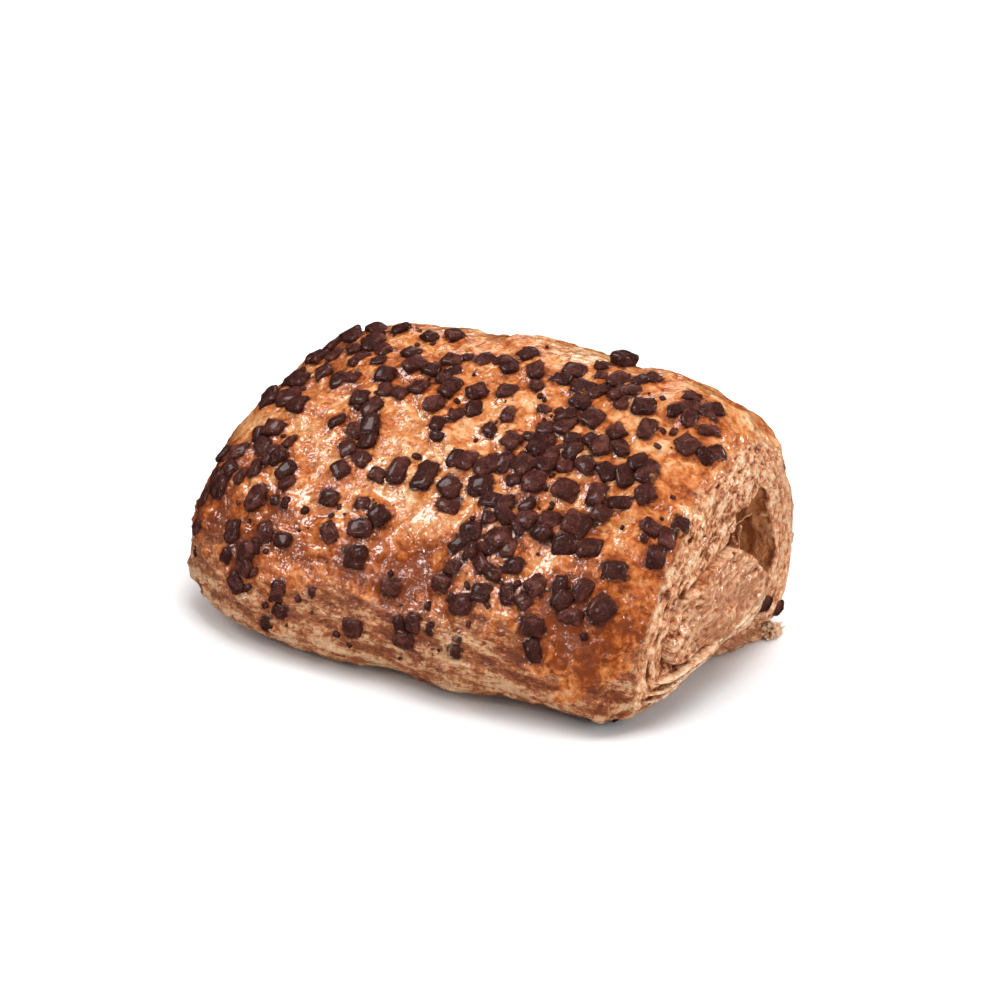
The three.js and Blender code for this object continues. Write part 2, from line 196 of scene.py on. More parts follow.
def bakedPiece(mesh, material):
    # a piece that is part of the pastry and rides on its body
    piece = newPiece(mesh, material)
    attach(piece, "root")
    return piece


def startMaterial(name):
    material = bpy.data.materials.new(name)
    material.use_nodes = True
    material.node_tree.nodes.clear()
    return material, material.node_tree


def setSocket(tree, socket, value):
    if isinstance(value, bpy.types.NodeSocket):
        tree.links.new(value, socket)
    else:
        socket.default_value = value


def addNode(tree, kind, settings=None, **inputs):
    # inputs are named by the socket, or i0, i1 and so on by its number
    node = tree.nodes.new(kind)
    for key, value in (settings or {}).items():
        setattr(node, key, value)
    for key, value in inputs.items():
        numbered = key[0] == "i" and key[1:].isdigit()
        setSocket(tree, node.inputs[int(key[1:]) if numbered else key.replace("_", " ")], value)
    return node


def mathNode(tree, operation, *values):
    inputs = {f"i{number}": value for number, value in enumerate(values)}
    return addNode(tree, "ShaderNodeMath", {"operation": operation}, **inputs).outputs[0]


def timesNode(tree, first, second, added=0.0):
    return mathNode(tree, "MULTIPLY_ADD", first, second, added)


def rangeNode(tree, value, low, high, toLow=0.0, toHigh=1.0, smoothStep=True):
    kind = "SMOOTHSTEP" if smoothStep else "LINEAR"
    return addNode(tree, "ShaderNodeMapRange", {"interpolation_type": kind}, Value=value, From_Min=low, From_Max=high,
                   To_Min=toLow, To_Max=toHigh).outputs[0]


def mixColour(tree, amount, first, second):
    node = addNode(tree, "ShaderNodeMix", {"data_type": "RGBA"}, i0=amount, i6=first, i7=second)
    return node.outputs[2]


def stretchNode(tree, place, stretch):
    return addNode(tree, "ShaderNodeVectorMath", {"operation": "MULTIPLY"}, i0=place, i1=stretch).outputs[0]


def noiseNode(tree, place, size, detail=3.0, roughness=0.55, distortion=0.0):
    # size is how far apart the features are, in millimetres
    node = addNode(tree, "ShaderNodeTexNoise", Vector=place, Scale=1000 / size, Detail=detail, Roughness=roughness,
                   Distortion=distortion)
    return node.outputs[0]


def colours(**screen):
    # screen colours of 0 to 255 as the linear values that a shader takes
    def linear(value):
        value /= 255
        return value / 12.92 if value <= 0.04045 else ((value + 0.055) / 1.055) ** 2.4
    return {name: (*map(linear, tone), 1) for name, tone in screen.items()}


def fieldNode(tree, name):
    return addNode(tree, "ShaderNodeAttribute", {"attribute_name": name}).outputs["Fac"]


def rampNode(tree, value, look, *stops):
    # each stop is a position and the name of a colour of the look
    ramp = addNode(tree, "ShaderNodeValToRGB", Fac=value)
    elements = ramp.color_ramp.elements
    for element, (position, name) in zip(elements, (stops[0], stops[-1])):
        element.position, element.color = position, look[name]
    for position, name in stops[1:-1]:
        elements.new(position).color = look[name]
    return ramp.outputs[0]


def sumNode(tree, *terms):
    # each term is a socket and how much of it to add
    total = 0.0
    for value, amount in terms:
        total = timesNode(tree, value, amount, total)
    return total


def lineNode(tree, value, middle, width):
    # 1 on the thin lines where a noise crosses its middle
    apart = mathNode(tree, "ABSOLUTE", mathNode(tree, "SUBTRACT", value, middle))
    return rangeNode(tree, apart, 0, width, 1, 0)


def finishMaterial(material, specular, **inputs):
    tree = material.node_tree
    shader = addNode(tree, "ShaderNodeBsdfPrincipled", **inputs)
    shader.inputs["Specular IOR Level"].default_value = specular
    tree.links.new(shader.outputs[0], tree.nodes.new("ShaderNodeOutputMaterial").inputs[0])
    return material


def bumpNode(tree, height):
    # heights are in millimetres
    return addNode(tree, "ShaderNodeBump", Strength=1.0, Distance=0.001, Height=height).outputs[0]


def makeCrustMaterial():
    crust = {
        "tones": colours(
            burnt=(128, 56, 16), caramel=(170, 84, 30), amber=(196, 110, 54), golden=(212, 138, 80),
            pale=(228, 168, 118), flake=(240, 194, 148), pore=(106, 48, 22), footDark=(134, 66, 36),
            footSkin=(176, 98, 56), footTan=(210, 142, 94), footPale=(232, 182, 138), cutGap=(112, 56, 28),
            cutBrown=(184, 108, 64), cutTan=(222, 152, 104), cutPale=(252, 212, 172), foldBrown=(182, 110, 68),
            flakyGap=(150, 88, 54), flakyTan=(194, 132, 88), flakyPale=(222, 168, 122), cavity=(226, 156, 102),
            cavityDark=(100, 52, 28), chocolate=(54, 26, 18)),
        # heights in millimetres, negative where it is a dent
        "wrinkleHeight": 0.26, "rippleHeight": 0.12, "pitHeight": -0.14, "fibreHeight": 0.7, "crumbHeight": 0.85,
        "flakeHeight": 1.2, "bareHeight": -0.7,
        "bareRoughness": 0.7, "glazedRoughness": 0.3, "coatRoughness": 0.09, "specular": 0.32,
    }
    look = crust["tones"]
    material, tree = startMaterial("bakedCrust")
    place = addNode(tree, "ShaderNodeTexCoord").outputs["Object"]
    browning, foot, cut, layer, deep, raised, onFold = [
        fieldNode(tree, name) for name in ("browning", "foot", "cut", "layer", "deep", "raised", "onFold")]

    # glazed skin: golden ground, pale where it is thin, caramel where the glaze is thick and along the cracks
    patch = noiseNode(tree, place, 8, 2, 0.5, 0.6)
    blot = noiseNode(tree, place, 2.6, 3, 0.55, 1.2)
    fleck = noiseNode(tree, place, 0.8, 3, 0.6, 0.3)
    wanted = sumNode(tree, (patch, 0.3), (blot, 0.46), (fleck, 0.24), (raised, 0.035), (browning, -0.17))
    base = rampNode(tree, wanted, look, (0.345, "burnt"), (0.41, "caramel"), (0.465, "amber"), (0.515, "golden"),
                    (0.57, "pale"), (0.64, "flake"))
    crack = lineNode(tree, noiseNode(tree, place, 2.4, 4, 0.6, 1.5), 0.5, 0.014)
    crack = timesNode(tree, crack, rangeNode(tree, patch, 0.45, 0.6, 0.1, 0.5))
    base = mixColour(tree, crack, base, look["caramel"])

    # low on the sides: brown skin and tan dough in streaks along the roll
    crumb = noiseNode(tree, place, 1.0, 3, 0.62, 0.5)
    flake = noiseNode(tree, stretchNode(tree, place, (0.4, 1, 1.2)), 0.7, 4, 0.65, 0.6)
    footWanted = sumNode(tree, (fieldNode(tree, "streak"), 0.24), (flake, 0.62), (fleck, 0.38), (browning, -0.08))
    footTone = rampNode(tree, footWanted, look, (0.33, "footDark"), (0.425, "footSkin"), (0.465, "footSkin"),
                        (0.515, "footTan"), (0.62, "footPale"))
    bareFoot = rangeNode(tree, sumNode(tree, (foot, 1), (flake, 1.4), (blot, 0.9)), 1.62, 1.84)
    base = mixColour(tree, bareFoot, base, footTone)

    # flaky dough in the few spots where the skin is torn
    flakyWanted = sumNode(tree, (crumb, 0.6), (blot, 0.4), (raised, 0.07))
    flaky = rampNode(tree, flakyWanted, look, (0.37, "flakyGap"), (0.46, "flakyTan"), (0.62, "flakyPale"))
    edge = timesNode(tree, mathNode(tree, "SUBTRACT", crumb, 0.5), 0.9, fieldNode(tree, "skin"))
    whole = rangeNode(tree, edge, 0.42, 0.58)
    base = mixColour(tree, whole, flaky, base)
    bare = mathNode(tree, "MAXIMUM", cut, mathNode(tree, "SUBTRACT", 1, whole))

    # cut end: crumb that follows the layers, pale ridges and brown gaps, calmer and browner on the fold
    fibre = addNode(tree, "ShaderNodeCombineXYZ", X=layer, Y=0.0, Z=0.0).outputs[0]
    finer = stretchNode(tree, place, (420, 420, 420))
    fibrePlace = addNode(tree, "ShaderNodeVectorMath", {"operation": "ADD"}, i0=fibre, i1=finer).outputs[0]
    fibres = addNode(tree, "ShaderNodeTexNoise", Vector=fibrePlace, Scale=1.5, Detail=3.0, Roughness=0.6,
                     Distortion=0.4).outputs[0]
    cutWanted = sumNode(tree, (fibres, 0.36), (crumb, 0.46), (blot, 0.18), (raised, 0.075))
    cutWanted = timesNode(tree, mathNode(tree, "SUBTRACT", cutWanted, 0.5), timesNode(tree, onFold, -0.22, 1), 0.5)
    dough = rampNode(tree, cutWanted, look, (0.38, "cutGap"), (0.44, "cutBrown"), (0.495, "cutTan"), (0.59, "cutPale"))
    inner = mixColour(tree, rangeNode(tree, patch, 0.42, 0.58, 0.6, 0.0), dough, look["foldBrown"])
    dough = mixColour(tree, onFold, dough, inner)
    # the wall of the hollow has its own tone near the opening and painted shade deeper down, where it turns dark brown
    dough = mixColour(tree, rangeNode(tree, deep, 0, 0.5), dough, look["cavity"])
    dough = mixColour(tree, rangeNode(tree, deep, 0.5, 0.85), dough, look["cavityDark"])
    # painted highlight: the folds of the hollow's wall are mixed towards pale tan
    paintedRidgeHighlight = timesNode(tree, rangeNode(tree, raised, 0.2, 1.6), rangeNode(tree, deep, 0.1, 0.4, 0, 0.8))
    dough = mixColour(tree, paintedRidgeHighlight, dough, look["cutTan"])
    base = mixColour(tree, cut, base, dough)

    # small irregular pits, and chocolate melted on to the dough, with painted contact shade in the dark rim at each
    # chip's foot
    pit = rangeNode(tree, noiseNode(tree, place, 1.3, 2, 0.5, 0.3), 0.3, 0.36, 1, 0)
    base = mixColour(tree, timesNode(tree, pit, 0.4), base, look["pore"])
    smear = rangeNode(tree, timesNode(tree, crumb, 0.6, fieldNode(tree, "smear")), 0.5, 0.9)
    base = mixColour(tree, smear, base, look["chocolate"])

    # the glaze is smooth enough that it glints, and the dough under it and the bare dough are rough
    wrinkle = noiseNode(tree, place, 1.6, 1, 0.4, 0.8)
    ripple = noiseNode(tree, place, 0.65, 1, 0.4, 0.5)
    uneven = sumNode(tree, (wrinkle, crust["wrinkleHeight"]), (ripple, crust["rippleHeight"]))
    uneven = timesNode(tree, uneven, rangeNode(tree, patch, 0.43, 0.57, 1.1, 0.5))
    glazeHeight = timesNode(tree, pit, crust["pitHeight"], uneven)
    rough = timesNode(tree, bare, sumNode(tree, (fibres, crust["fibreHeight"]), (crumb, crust["crumbHeight"])))
    rough = timesNode(tree, timesNode(tree, bareFoot, flake), crust["flakeHeight"], rough)
    rough = timesNode(tree, bareFoot, crust["bareHeight"], rough)
    gloss = timesNode(tree, timesNode(tree, bare, -0.6, 1), timesNode(tree, bareFoot, -0.65, 1))
    gloss = mathNode(tree, "MAXIMUM", gloss, timesNode(tree, deep, 0.8))
    gloss = timesNode(tree, gloss, timesNode(tree, smear, -0.7, 1))
    roughness = rangeNode(tree, gloss, 0, 1, crust["bareRoughness"], crust["glazedRoughness"], False)
    roughness = timesNode(tree, gloss, rangeNode(tree, patch, 0.4, 0.6, 0.16, 0), roughness)
    return finishMaterial(
        material, crust["specular"], Base_Color=base, Roughness=roughness, Coat_Weight=gloss,
        Normal=bumpNode(tree, mathNode(tree, "ADD", glazeHeight, rough)),
        Coat_Roughness=crust["coatRoughness"], Coat_Normal=bumpNode(tree, glazeHeight))


def makeChipMaterial():
    chocolate = {
        "tones": colours(body=(68, 32, 26), rim=(102, 56, 47), dark=(42, 18, 15)),
        "dimpleHeight": 0.36, "creaseHeight": 0.48, "gritHeight": 0.18,
        "specular": 0.1, "coatWeight": 0.24, "coatRoughness": 0.12,
    }
    look = chocolate["tones"]
    material, tree = startMaterial("darkChocolate")
    place = addNode(tree, "ShaderNodeTexCoord").outputs["Object"]
    soft = noiseNode(tree, place, 1.7, 4, 0.6, 0.4)
    wrinkle = noiseNode(tree, place, 0.7, 3, 0.6, 0.8)
    base = mixColour(tree, rangeNode(tree, soft, 0.42, 0.66), look["body"], look["rim"])
    base = mixColour(tree, rangeNode(tree, fieldNode(tree, "chipTone"), 0, 1, 0, 0.6), base, look["dark"])
    dimple = noiseNode(tree, place, 1.9, 1, 0.4, 0.3)
    crease = noiseNode(tree, place, 0.9, 1, 0.4, 0.8)
    grit = noiseNode(tree, place, 0.4, 1, 0.4, 0.3)
    height = sumNode(tree, (dimple, chocolate["dimpleHeight"]), (crease, chocolate["creaseHeight"]),
                     (grit, chocolate["gritHeight"]))
    return finishMaterial(
        material, chocolate["specular"], Base_Color=base, Roughness=rangeNode(tree, wrinkle, 0.35, 0.65, 0.26, 0.42),
        Normal=bumpNode(tree, height), Coat_Weight=chocolate["coatWeight"], Coat_Roughness=chocolate["coatRoughness"])


def makeTableMaterial():
    table = {"tone": (0.92, 0.925, 0.93, 1), "roughness": 0.6, "specular": 0.2}
    material, _ = startMaterial("whiteTable")
    return finishMaterial(material, table["specular"], Base_Color=table["tone"], Roughness=table["roughness"])


# where the chips lie, in step with the solid
chips = {
    "seed": 4368, "rise": (1.3, 2.1), "sunk": 1, "endShare": 0.7, "narrow": (0.66, 0.9), "spacing": 0.84,
    # place along the roll, angle, heading, how many, chip length
    "clumps": [
        [-33.5, -3, 0, 3, 4.6], [-38, -8, 60, 3, 4.6], [-41.5, -15, 70, 2, 4.4], [-32, -10, -50, 2, 4.4],
        [-24.5, -3.5, -40, 1, 5], [-25.5, -11, -30, 4, 4.4], [-27, -17.5, -70, 4, 4.8], [-22, -20, 20, 1, 3.8],
        [-26, -26, 0, 2, 3.8], [-36.5, -14, -20, 3, 4], [-37, -23, 20, 4, 4.6], [-42, -22, 80, 1, 4.6],
        [-40, -33, 10, 2, 5.6], [-33.5, -37, -10, 1, 5.8], [-35.5, -46, 0, 1, 4.2], [-39.3, -48.5, 90, 1, 3.6],
        [-12.3, -4, -40, 1, 4], [-16.5, -7.5, -10, 1, 4], [-15.5, -17, -30, 2, 3.8], [-11, -24, 90, 3, 3.8],
        [-7, -17, -50, 2, 3.6], [-6.3, -22, 0, 1, 3.2], [-18.3, -24.8, 0, 1, 4.6], [-15.8, -29, -20, 2, 4],
        [-20.4, -33, 0, 1, 4.2], [-16, -37.5, 90, 3, 4.2], [-20, -41.5, 0, 3, 4], [-14.5, -47, 10, 3, 4.2],
        [-14.2, -53.5, 70, 2, 4], [-8.5, -54.5, 0, 1, 3.4], [-2.3, -53.5, 0, 2, 5.4], [-33.5, -53.5, -20, 3, 4],
        [-30, -50.5, 90, 1, 3], [-28, -58.5, -20, 2, 4.6], [-25.5, -63.5, -60, 2, 3.4], [-25, -68.5, 0, 2, 2.6],
        [-41.5, -55.5, 30, 1, 4], [-46.4, -56.5, 0, 1, 4.6], [-38.3, -62, 0, 4, 4], [-31.3, -69, 90, 1, 5.6],
        [-42.8, -67.5, 60, 2, 5], [-46.6, -71, 60, 2, 4.2], [-15.6, -64, 0, 1, 3.8], [-8, -63.5, 0, 1, 3.6],
        [-4, -65.5, -40, 1, 4.4], [-6.8, -69.8, 0, 1, 4.6], [-12.4, -73, -40, 1, 4], [-6, -77.6, 0, 1, 4.6],
        [-26, -77.3, -60, 1, 3.6], [-21.4, -78, 0, 1, 3.6], [-31.5, -82, -50, 2, 4.8], [-27, -81.5, 90, 1, 3.2],
        [-45, -84, 60, 1, 3.8], [2.8, -83.3, 0, 1, 3.6], [4.5, -6, -20, 1, 4.4], [5.5, -11.5, 10, 4, 4],
        [-1.2, -12, 0, 2, 4.2], [-5.7, -12.3, 0, 1, 2.6], [9, -19, 20, 3, 4], [-3.8, -26.5, 50, 2, 4.4],
        [2.5, -26.5, -50, 2, 3.6], [9.8, -28.5, 90, 1, 3.2], [-0.5, -34.5, 40, 2, 3.6], [-0.7, -40, 0, 1, 3.4],
        [10.8, -35.8, -20, 3, 4], [5, -45, 90, 1, 4], [10.5, -45, -10, 2, 4.6], [15.5, -43.5, 40, 2, 4.2],
        [17.8, -39.5, 60, 2, 4.6], [18, -47.2, 0, 1, 3.4], [22.8, -45, -60, 3, 4.2], [28, -46.3, 0, 1, 4.4],
        [21.5, 2.5, 90, 1, 4.8], [19.4, -4, -30, 1, 3.4], [29.6, -2, 0, 1, 3.4], [28.2, -7.5, -60, 2, 3.8],
        [21, -8, 0, 1, 2.4], [18, -12.5, -30, 5, 4], [23.5, -14, 50, 5, 4.2], [20.5, -21, 80, 2, 4],
        [29, -15.8, 80, 1, 3.2], [32.8, -15.5, 20, 1, 4.6], [25.2, -23.2, -10, 1, 4.4], [15.6, -23.6, 0, 1, 3],
        [24, -28.5, -40, 5, 4.2], [18.2, -29.5, 0, 1, 3.4], [23.5, -35.5, 0, 6, 3.8], [26, -40, 0, 1, 3.4],
        [16.3, -33.8, 0, 1, 2.6], [34, -30.8, -30, 6, 4.2], [32, -37.5, 0, 4, 4], [38, -42, 35, 7, 4.4],
        [35.4, -52, 40, 2, 4], [33.5, -58.5, -20, 8, 4.4], [9.5, -53, 0, 2, 5.2], [8, -57.8, 0, 1, 4.4],
        [15.6, -54.3, 0, 1, 5], [1.6, -49.5, -60, 2, 3.6], [20.5, -52.5, 0, 2, 3.6], [22, -56.8, 10, 3, 4],
        [17, -59, 0, 1, 3], [24.5, -61.5, 0, 5, 3.8], [14.3, -64, 0, 1, 4.2], [19.2, -65, 90, 1, 4.8],
        [27.8, -58.8, 0, 1, 2.8], [16, -69.5, 0, 3, 3.6], [14, -74, 0, 1, 4.2], [23.6, -68, -50, 2, 3.6],
        [22, -72.6, 0, 1, 3.8], [33.5, -71.5, 0, 4, 4], [39.5, -73.5, -10, 4, 4.4], [38, -78.7, 0, 1, 4],
        [26.5, -77, -20, 3, 3.6], [21, -78.3, 0, 1, 4.2], [17.8, -82.3, 0, 1, 4.4], [12.6, -79, 0, 1, 3.4],
        [42.6, -64.8, 20, 1, 4.4], [44.3, -15.5, 70, 4, 3.8], [48, -17, 70, 1, 3.6], [45.2, -22, 0, 2, 3.8],
        [38.7, -6, -40, 2, 3.4], [43.2, -3.5, 70, 1, 3.8], [43.2, -7.2, 0, 1, 3], [39.5, -12.5, -20, 2, 3.6],
        [36, -22, -60, 1, 4.4], [48.6, -45, 80, 1, 3.8], [45, -49.5, 0, 1, 3.8], [47.6, -53, 80, 2, 4.2],
        [32.7, -86.5, 90, 2, 4.2], [-30.5, -92, 80, 2, 4.4], [-34, -87.5, 60, 1, 2.6], [-19.5, -91.3, 80, 1, 3.6],
        [-12.8, -89.8, 90, 1, 2.4], [-18.7, -96.6, 0, 1, 3.4], [-2.7, -96, 0, 1, 4.2], [8.3, -90.3, 10, 2, 3.4],
        [8, -95.4, 0, 1, 4], [13, -90.2, 90, 1, 2.4], [18.8, -93.4, 90, 1, 3.6], [-21.8, -102.3, 30, 1, 3.2],
    ],
    "seamRise": 1.6,
    # between the layers of the cut end: x, y, z, size
    "seam": [[52.1, 12.2, 10.5, 4.2], [50.4, 20.3, 6.2, 4]],
}


class Draws:
    # a plain repeatable sequence of draws, the same one that the solid is made with
    def __init__(self, seed):
        self.state = seed

    def between(self, low, high):
        self.state = self.state * 16807 % 2147483647
        return low + (high - low) * (self.state / 2147483647)


def unit(vector):
    return vector / np.linalg.norm(vector)


def crustFrame(x, angle):
    step, turnStep = 0.4, 0.012
    centre = crustAt(np.array(float(x)), angle)
    along = unit(crustAt(np.array(x + step), angle) - crustAt(np.array(x - step), angle))
    around = crustAt(np.array(float(x)), angle + turnStep) - crustAt(np.array(float(x)), angle - turnStep)
    stretch = np.linalg.norm(around) / (2 * turnStep)
    up = unit(np.cross(along, around))
    if up @ outward(centre) < 0:
        up = -up
    return {"centre": centre, "along": along, "across": unit(np.cross(up, along)), "up": up, "stretch": stretch}


def placeChips():
    draws = Draws(chips["seed"])
    placed = []

    def addChip(centre, along, across, up, length, rise):
        width = length * draws.between(*chips["narrow"])
        for _ in range(12):
            draws.between(0, 1)  # the solid's chips take twelve more draws each
        placed.append({"centre": centre, "along": along, "across": across, "up": up, "length": length, "width": width,
                       "rise": rise})

    for x, angle, heading, count, size in chips["clumps"]:
        middle = crustFrame(x, math.radians(angle))
        turn = math.radians(heading)
        halfLong = size * (0.34 + 0.2 * count ** 0.75) if count > 1 else 0
        halfShort = size * (0.12 + 0.13 * (count - 1) ** 0.75) if count > 1 else 0
        taken = []
        for i in range(count):
            clear = False
            for _ in range(60):
                u = draws.between(-halfLong, halfLong)
                v = draws.between(-halfShort, halfShort)
                clear = all(math.hypot(u - a, v - b) > size * chips["spacing"] for a, b in taken)
                if clear:
                    break
            if not clear and i > 0:
                continue
            taken.append((u, v))
            shiftX = u * math.cos(turn) - v * math.sin(turn)
            shiftUp = u * math.sin(turn) + v * math.cos(turn)
            place = crustFrame(x + shiftX, math.radians(angle) + shiftUp / middle["stretch"])
            length = size * draws.between(0.86, 1.12)
            yaw = draws.between(0, math.pi) if count > 1 else turn + draws.between(-0.25, 0.25)
            along = place["along"] * math.cos(yaw) + place["across"] * math.sin(yaw)
            across = np.cross(place["up"], along)
            rise = draws.between(*chips["rise"]) * min(length / 3.8, 1.1) * (chips["endShare"] if x < -44 else 1)
            addChip(place["centre"], along, across, place["up"], length, rise)
    for x, y, z, size in chips["seam"]:
        up = unit(np.array([1, 0.1, -0.1]))
        along = unit(np.array([0, 1, -0.4]))
        addChip(np.array([x, y, z]), along, unit(np.cross(up, along)), up, size, chips["seamRise"])
    return placed


# the dough: one closed skin from the left end, along the roll, over the cut end and down into the hollow

dough = {
    "sides": 360, "leftRings": 20, "bodyRings": 130, "faceRings": 88, "hollowRings": 26, "floorRings": 8,
    "backShare": 0.55, "baseShare": 0.3,
    "hollowCentre": (7.5, 24),
    "hollowFloor": (13, 23),
    "hollowOutline": [
        [0.2, 24.8], [-1.2, 26.8], [0.3, 28.3], [2, 28.6], [2.6, 31], [5.8, 31.2], [8.8, 32.4], [11.6, 33.2],
        [13.8, 31.6], [14.8, 28], [15.8, 24], [16, 19], [15, 15.5], [12.4, 13.4], [9.6, 15.6], [7, 18.2], [3.8, 21.4],
    ],
    "hollowDepth": 17, "hollowTaper": 0.35,
    # where the end is set back over the lowest layer
    "recessOutline": [[-10, 4.6], [-2, 6.6], [5, 8], [10, 8.2], [15, 6.6], [19, 4], [22, -2], [-14, -2]],
    "recessDepth": 3.8,
    # under the fold and its bands the end lies deeper, so that the gaps between them are dark, and their tone is
    # darkened there as painted shade as well
    "bedOutline": [[-17, 6], [-10, 6.3], [4, 8.8], [11.5, 12], [8, 17], [-4, 22], [-14, 18], [-17, 14], [-18, 9]],
    "bedDepth": 1.8,
    "foldOutline": [
        [-20.5, 11], [-20.3, 15], [-17, 19.6], [-10, 22.6], [-4.5, 24.6], [-0.6, 25.9], [2.6, 24.2], [5.8, 21.6],
        [9.2, 18], [13.1, 14.2], [11, 13.7], [6, 12.9], [0, 11.9], [-10, 10.8], [-16, 10.2],
    ],
    # heights of the relief of the crust, the cut end and the wall of the hollow, in millimetres
    "broadHeight": 0.3, "billowHeight": 0.55, "creaseHeight": 0.3, "blisterHeight": 0.4, "foldHeight": 1.2,
    "streakHeight": 0.4, "pooledHeight": 0.3,
    "ridgeHeight": 0.3, "roughHeight": 0.22, "warpHeight": 0.35, "arcHeight": 0.55,
    "holeDepth": 0.8, "slotDepth": 1.2, "grooveDepth": 1.2, "foldEdgeDepth": 0.9,
    "wallHeight": 1.2,
    # where the glaze runs further down: place along the roll, reach, degrees
    "glazeRuns": [[41, 9, 13], [-20, 16, 4]],
    # where the crust is browner: place along the roll, angle, reach along, reach in degrees, amount
    "brownings": [
        [7, -79, 7, 12, 0.7], [43, -80, 10, 20, 0.8], [30, -84, 14, 8, 0.5], [-20, -80, 30, 11, 0.6],
        [-22, -73, 20, 8, 0.3], [5, -74, 10, 9, 0.25], [45, -30, 5, 30, 0.35], [-45, -70, 9, 25, 0.35],
        [10, -96, 40, 5, 0.3], [-10, -22, 14, 8, 0.4],
    ],
    # smears of melted chocolate: x, y, z and reach each way
    "smears": [[(44, -27, 1.2), (7, 4, 1.3)], [(50, 14, 5.2), (3, 1.6, 1.3)], [(46.5, -24.5, 3.4), (2.4, 3, 0.7)]],
}


def outlineReach(corners, centre, angles):
    # how far a smooth closed outline lies from its centre, at each angle
    corners = np.array(corners, float)
    apart = corners - np.array(centre)
    cornerAngles = np.arctan2(apart[:, 0], apart[:, 1])
    order = np.argsort(cornerAngles)
    cornerAngles, reach = cornerAngles[order], np.hypot(apart[:, 0], apart[:, 1])[order]
    wide = np.concatenate([cornerAngles - 2 * math.pi, cornerAngles, cornerAngles + 2 * math.pi])
    found = np.interp(angles, wide, np.tile(reach, 3))
    for shift in (-0.05, 0.05):
        found = (found + np.interp(angles + shift, wide, np.tile(reach, 3))) / 2
    return found


def insideOutline(y, z, corners):
    # signed distance to an outline drawn as [y, z], positive inside
    corners = np.array(corners, float)
    nearest = np.full(y.shape, 1e9)
    inside = np.zeros(y.shape, bool)
    for (y0, z0), (y1, z1) in zip(corners, np.roll(corners, -1, axis=0)):
        along = np.clip(((y - y0) * (y1 - y0) + (z - z0) * (z1 - z0)) / ((y1 - y0) ** 2 + (z1 - z0) ** 2), 0, 1)
        nearest = np.minimum(nearest, np.hypot(y - y0 - along * (y1 - y0), z - z0 - along * (z1 - z0)))
        crosses = (z0 > z) != (z1 > z)
        if z1 != z0:
            inside ^= crosses & (y < (y1 - y0) * (z - z0) / (z1 - z0) + y0)
    return np.where(inside, nearest, -nearest)


def sideAngles():
    # the angle of every side, close together on the front and top and wider on the back and base,
    # and the even spacing that the cut end has
    angles = np.linspace(-math.pi, math.pi, 4001)
    outline = rollPoint(np.zeros(4001), 1.0, angles)
    steps = np.linalg.norm(np.diff(outline, axis=0), axis=1)
    middle = np.degrees((angles[1:] + angles[:-1]) / 2)
    weight = np.where(middle > 22, dough["backShare"], 1.0)
    weight = np.where((middle > 104) | (middle < -114), dough["baseShare"], weight)
    dense = np.concatenate([[0], np.cumsum(steps * weight)])
    even = np.concatenate([[0], np.cumsum(steps)])
    shares = np.linspace(0, 1, dough["sides"] + 1)[:-1]
    return np.interp(shares * dense[-1], dense, angles), np.interp(shares * even[-1], even, angles)


def endPlace(y, z):
    # the rounded end under a place given as [y, z], with how much of the girth it is at
    up = z - roll["axisHeight"]
    across = (y - roll["lean"] * up) / (1 - roll["narrowing"] * 50 / 108)
    corner = 0.5 ** (1 / roll["rightRoundness"])
    share = np.minimum(np.hypot(across, up) / sectionRadius(np.arctan2(across, up)), corner)
    x = roll["rightLength"] * (1 - share ** roll["rightRoundness"]) ** (1 / roll["rightRoundness"])
    return columns(x, y, np.maximum(z, 0)), share


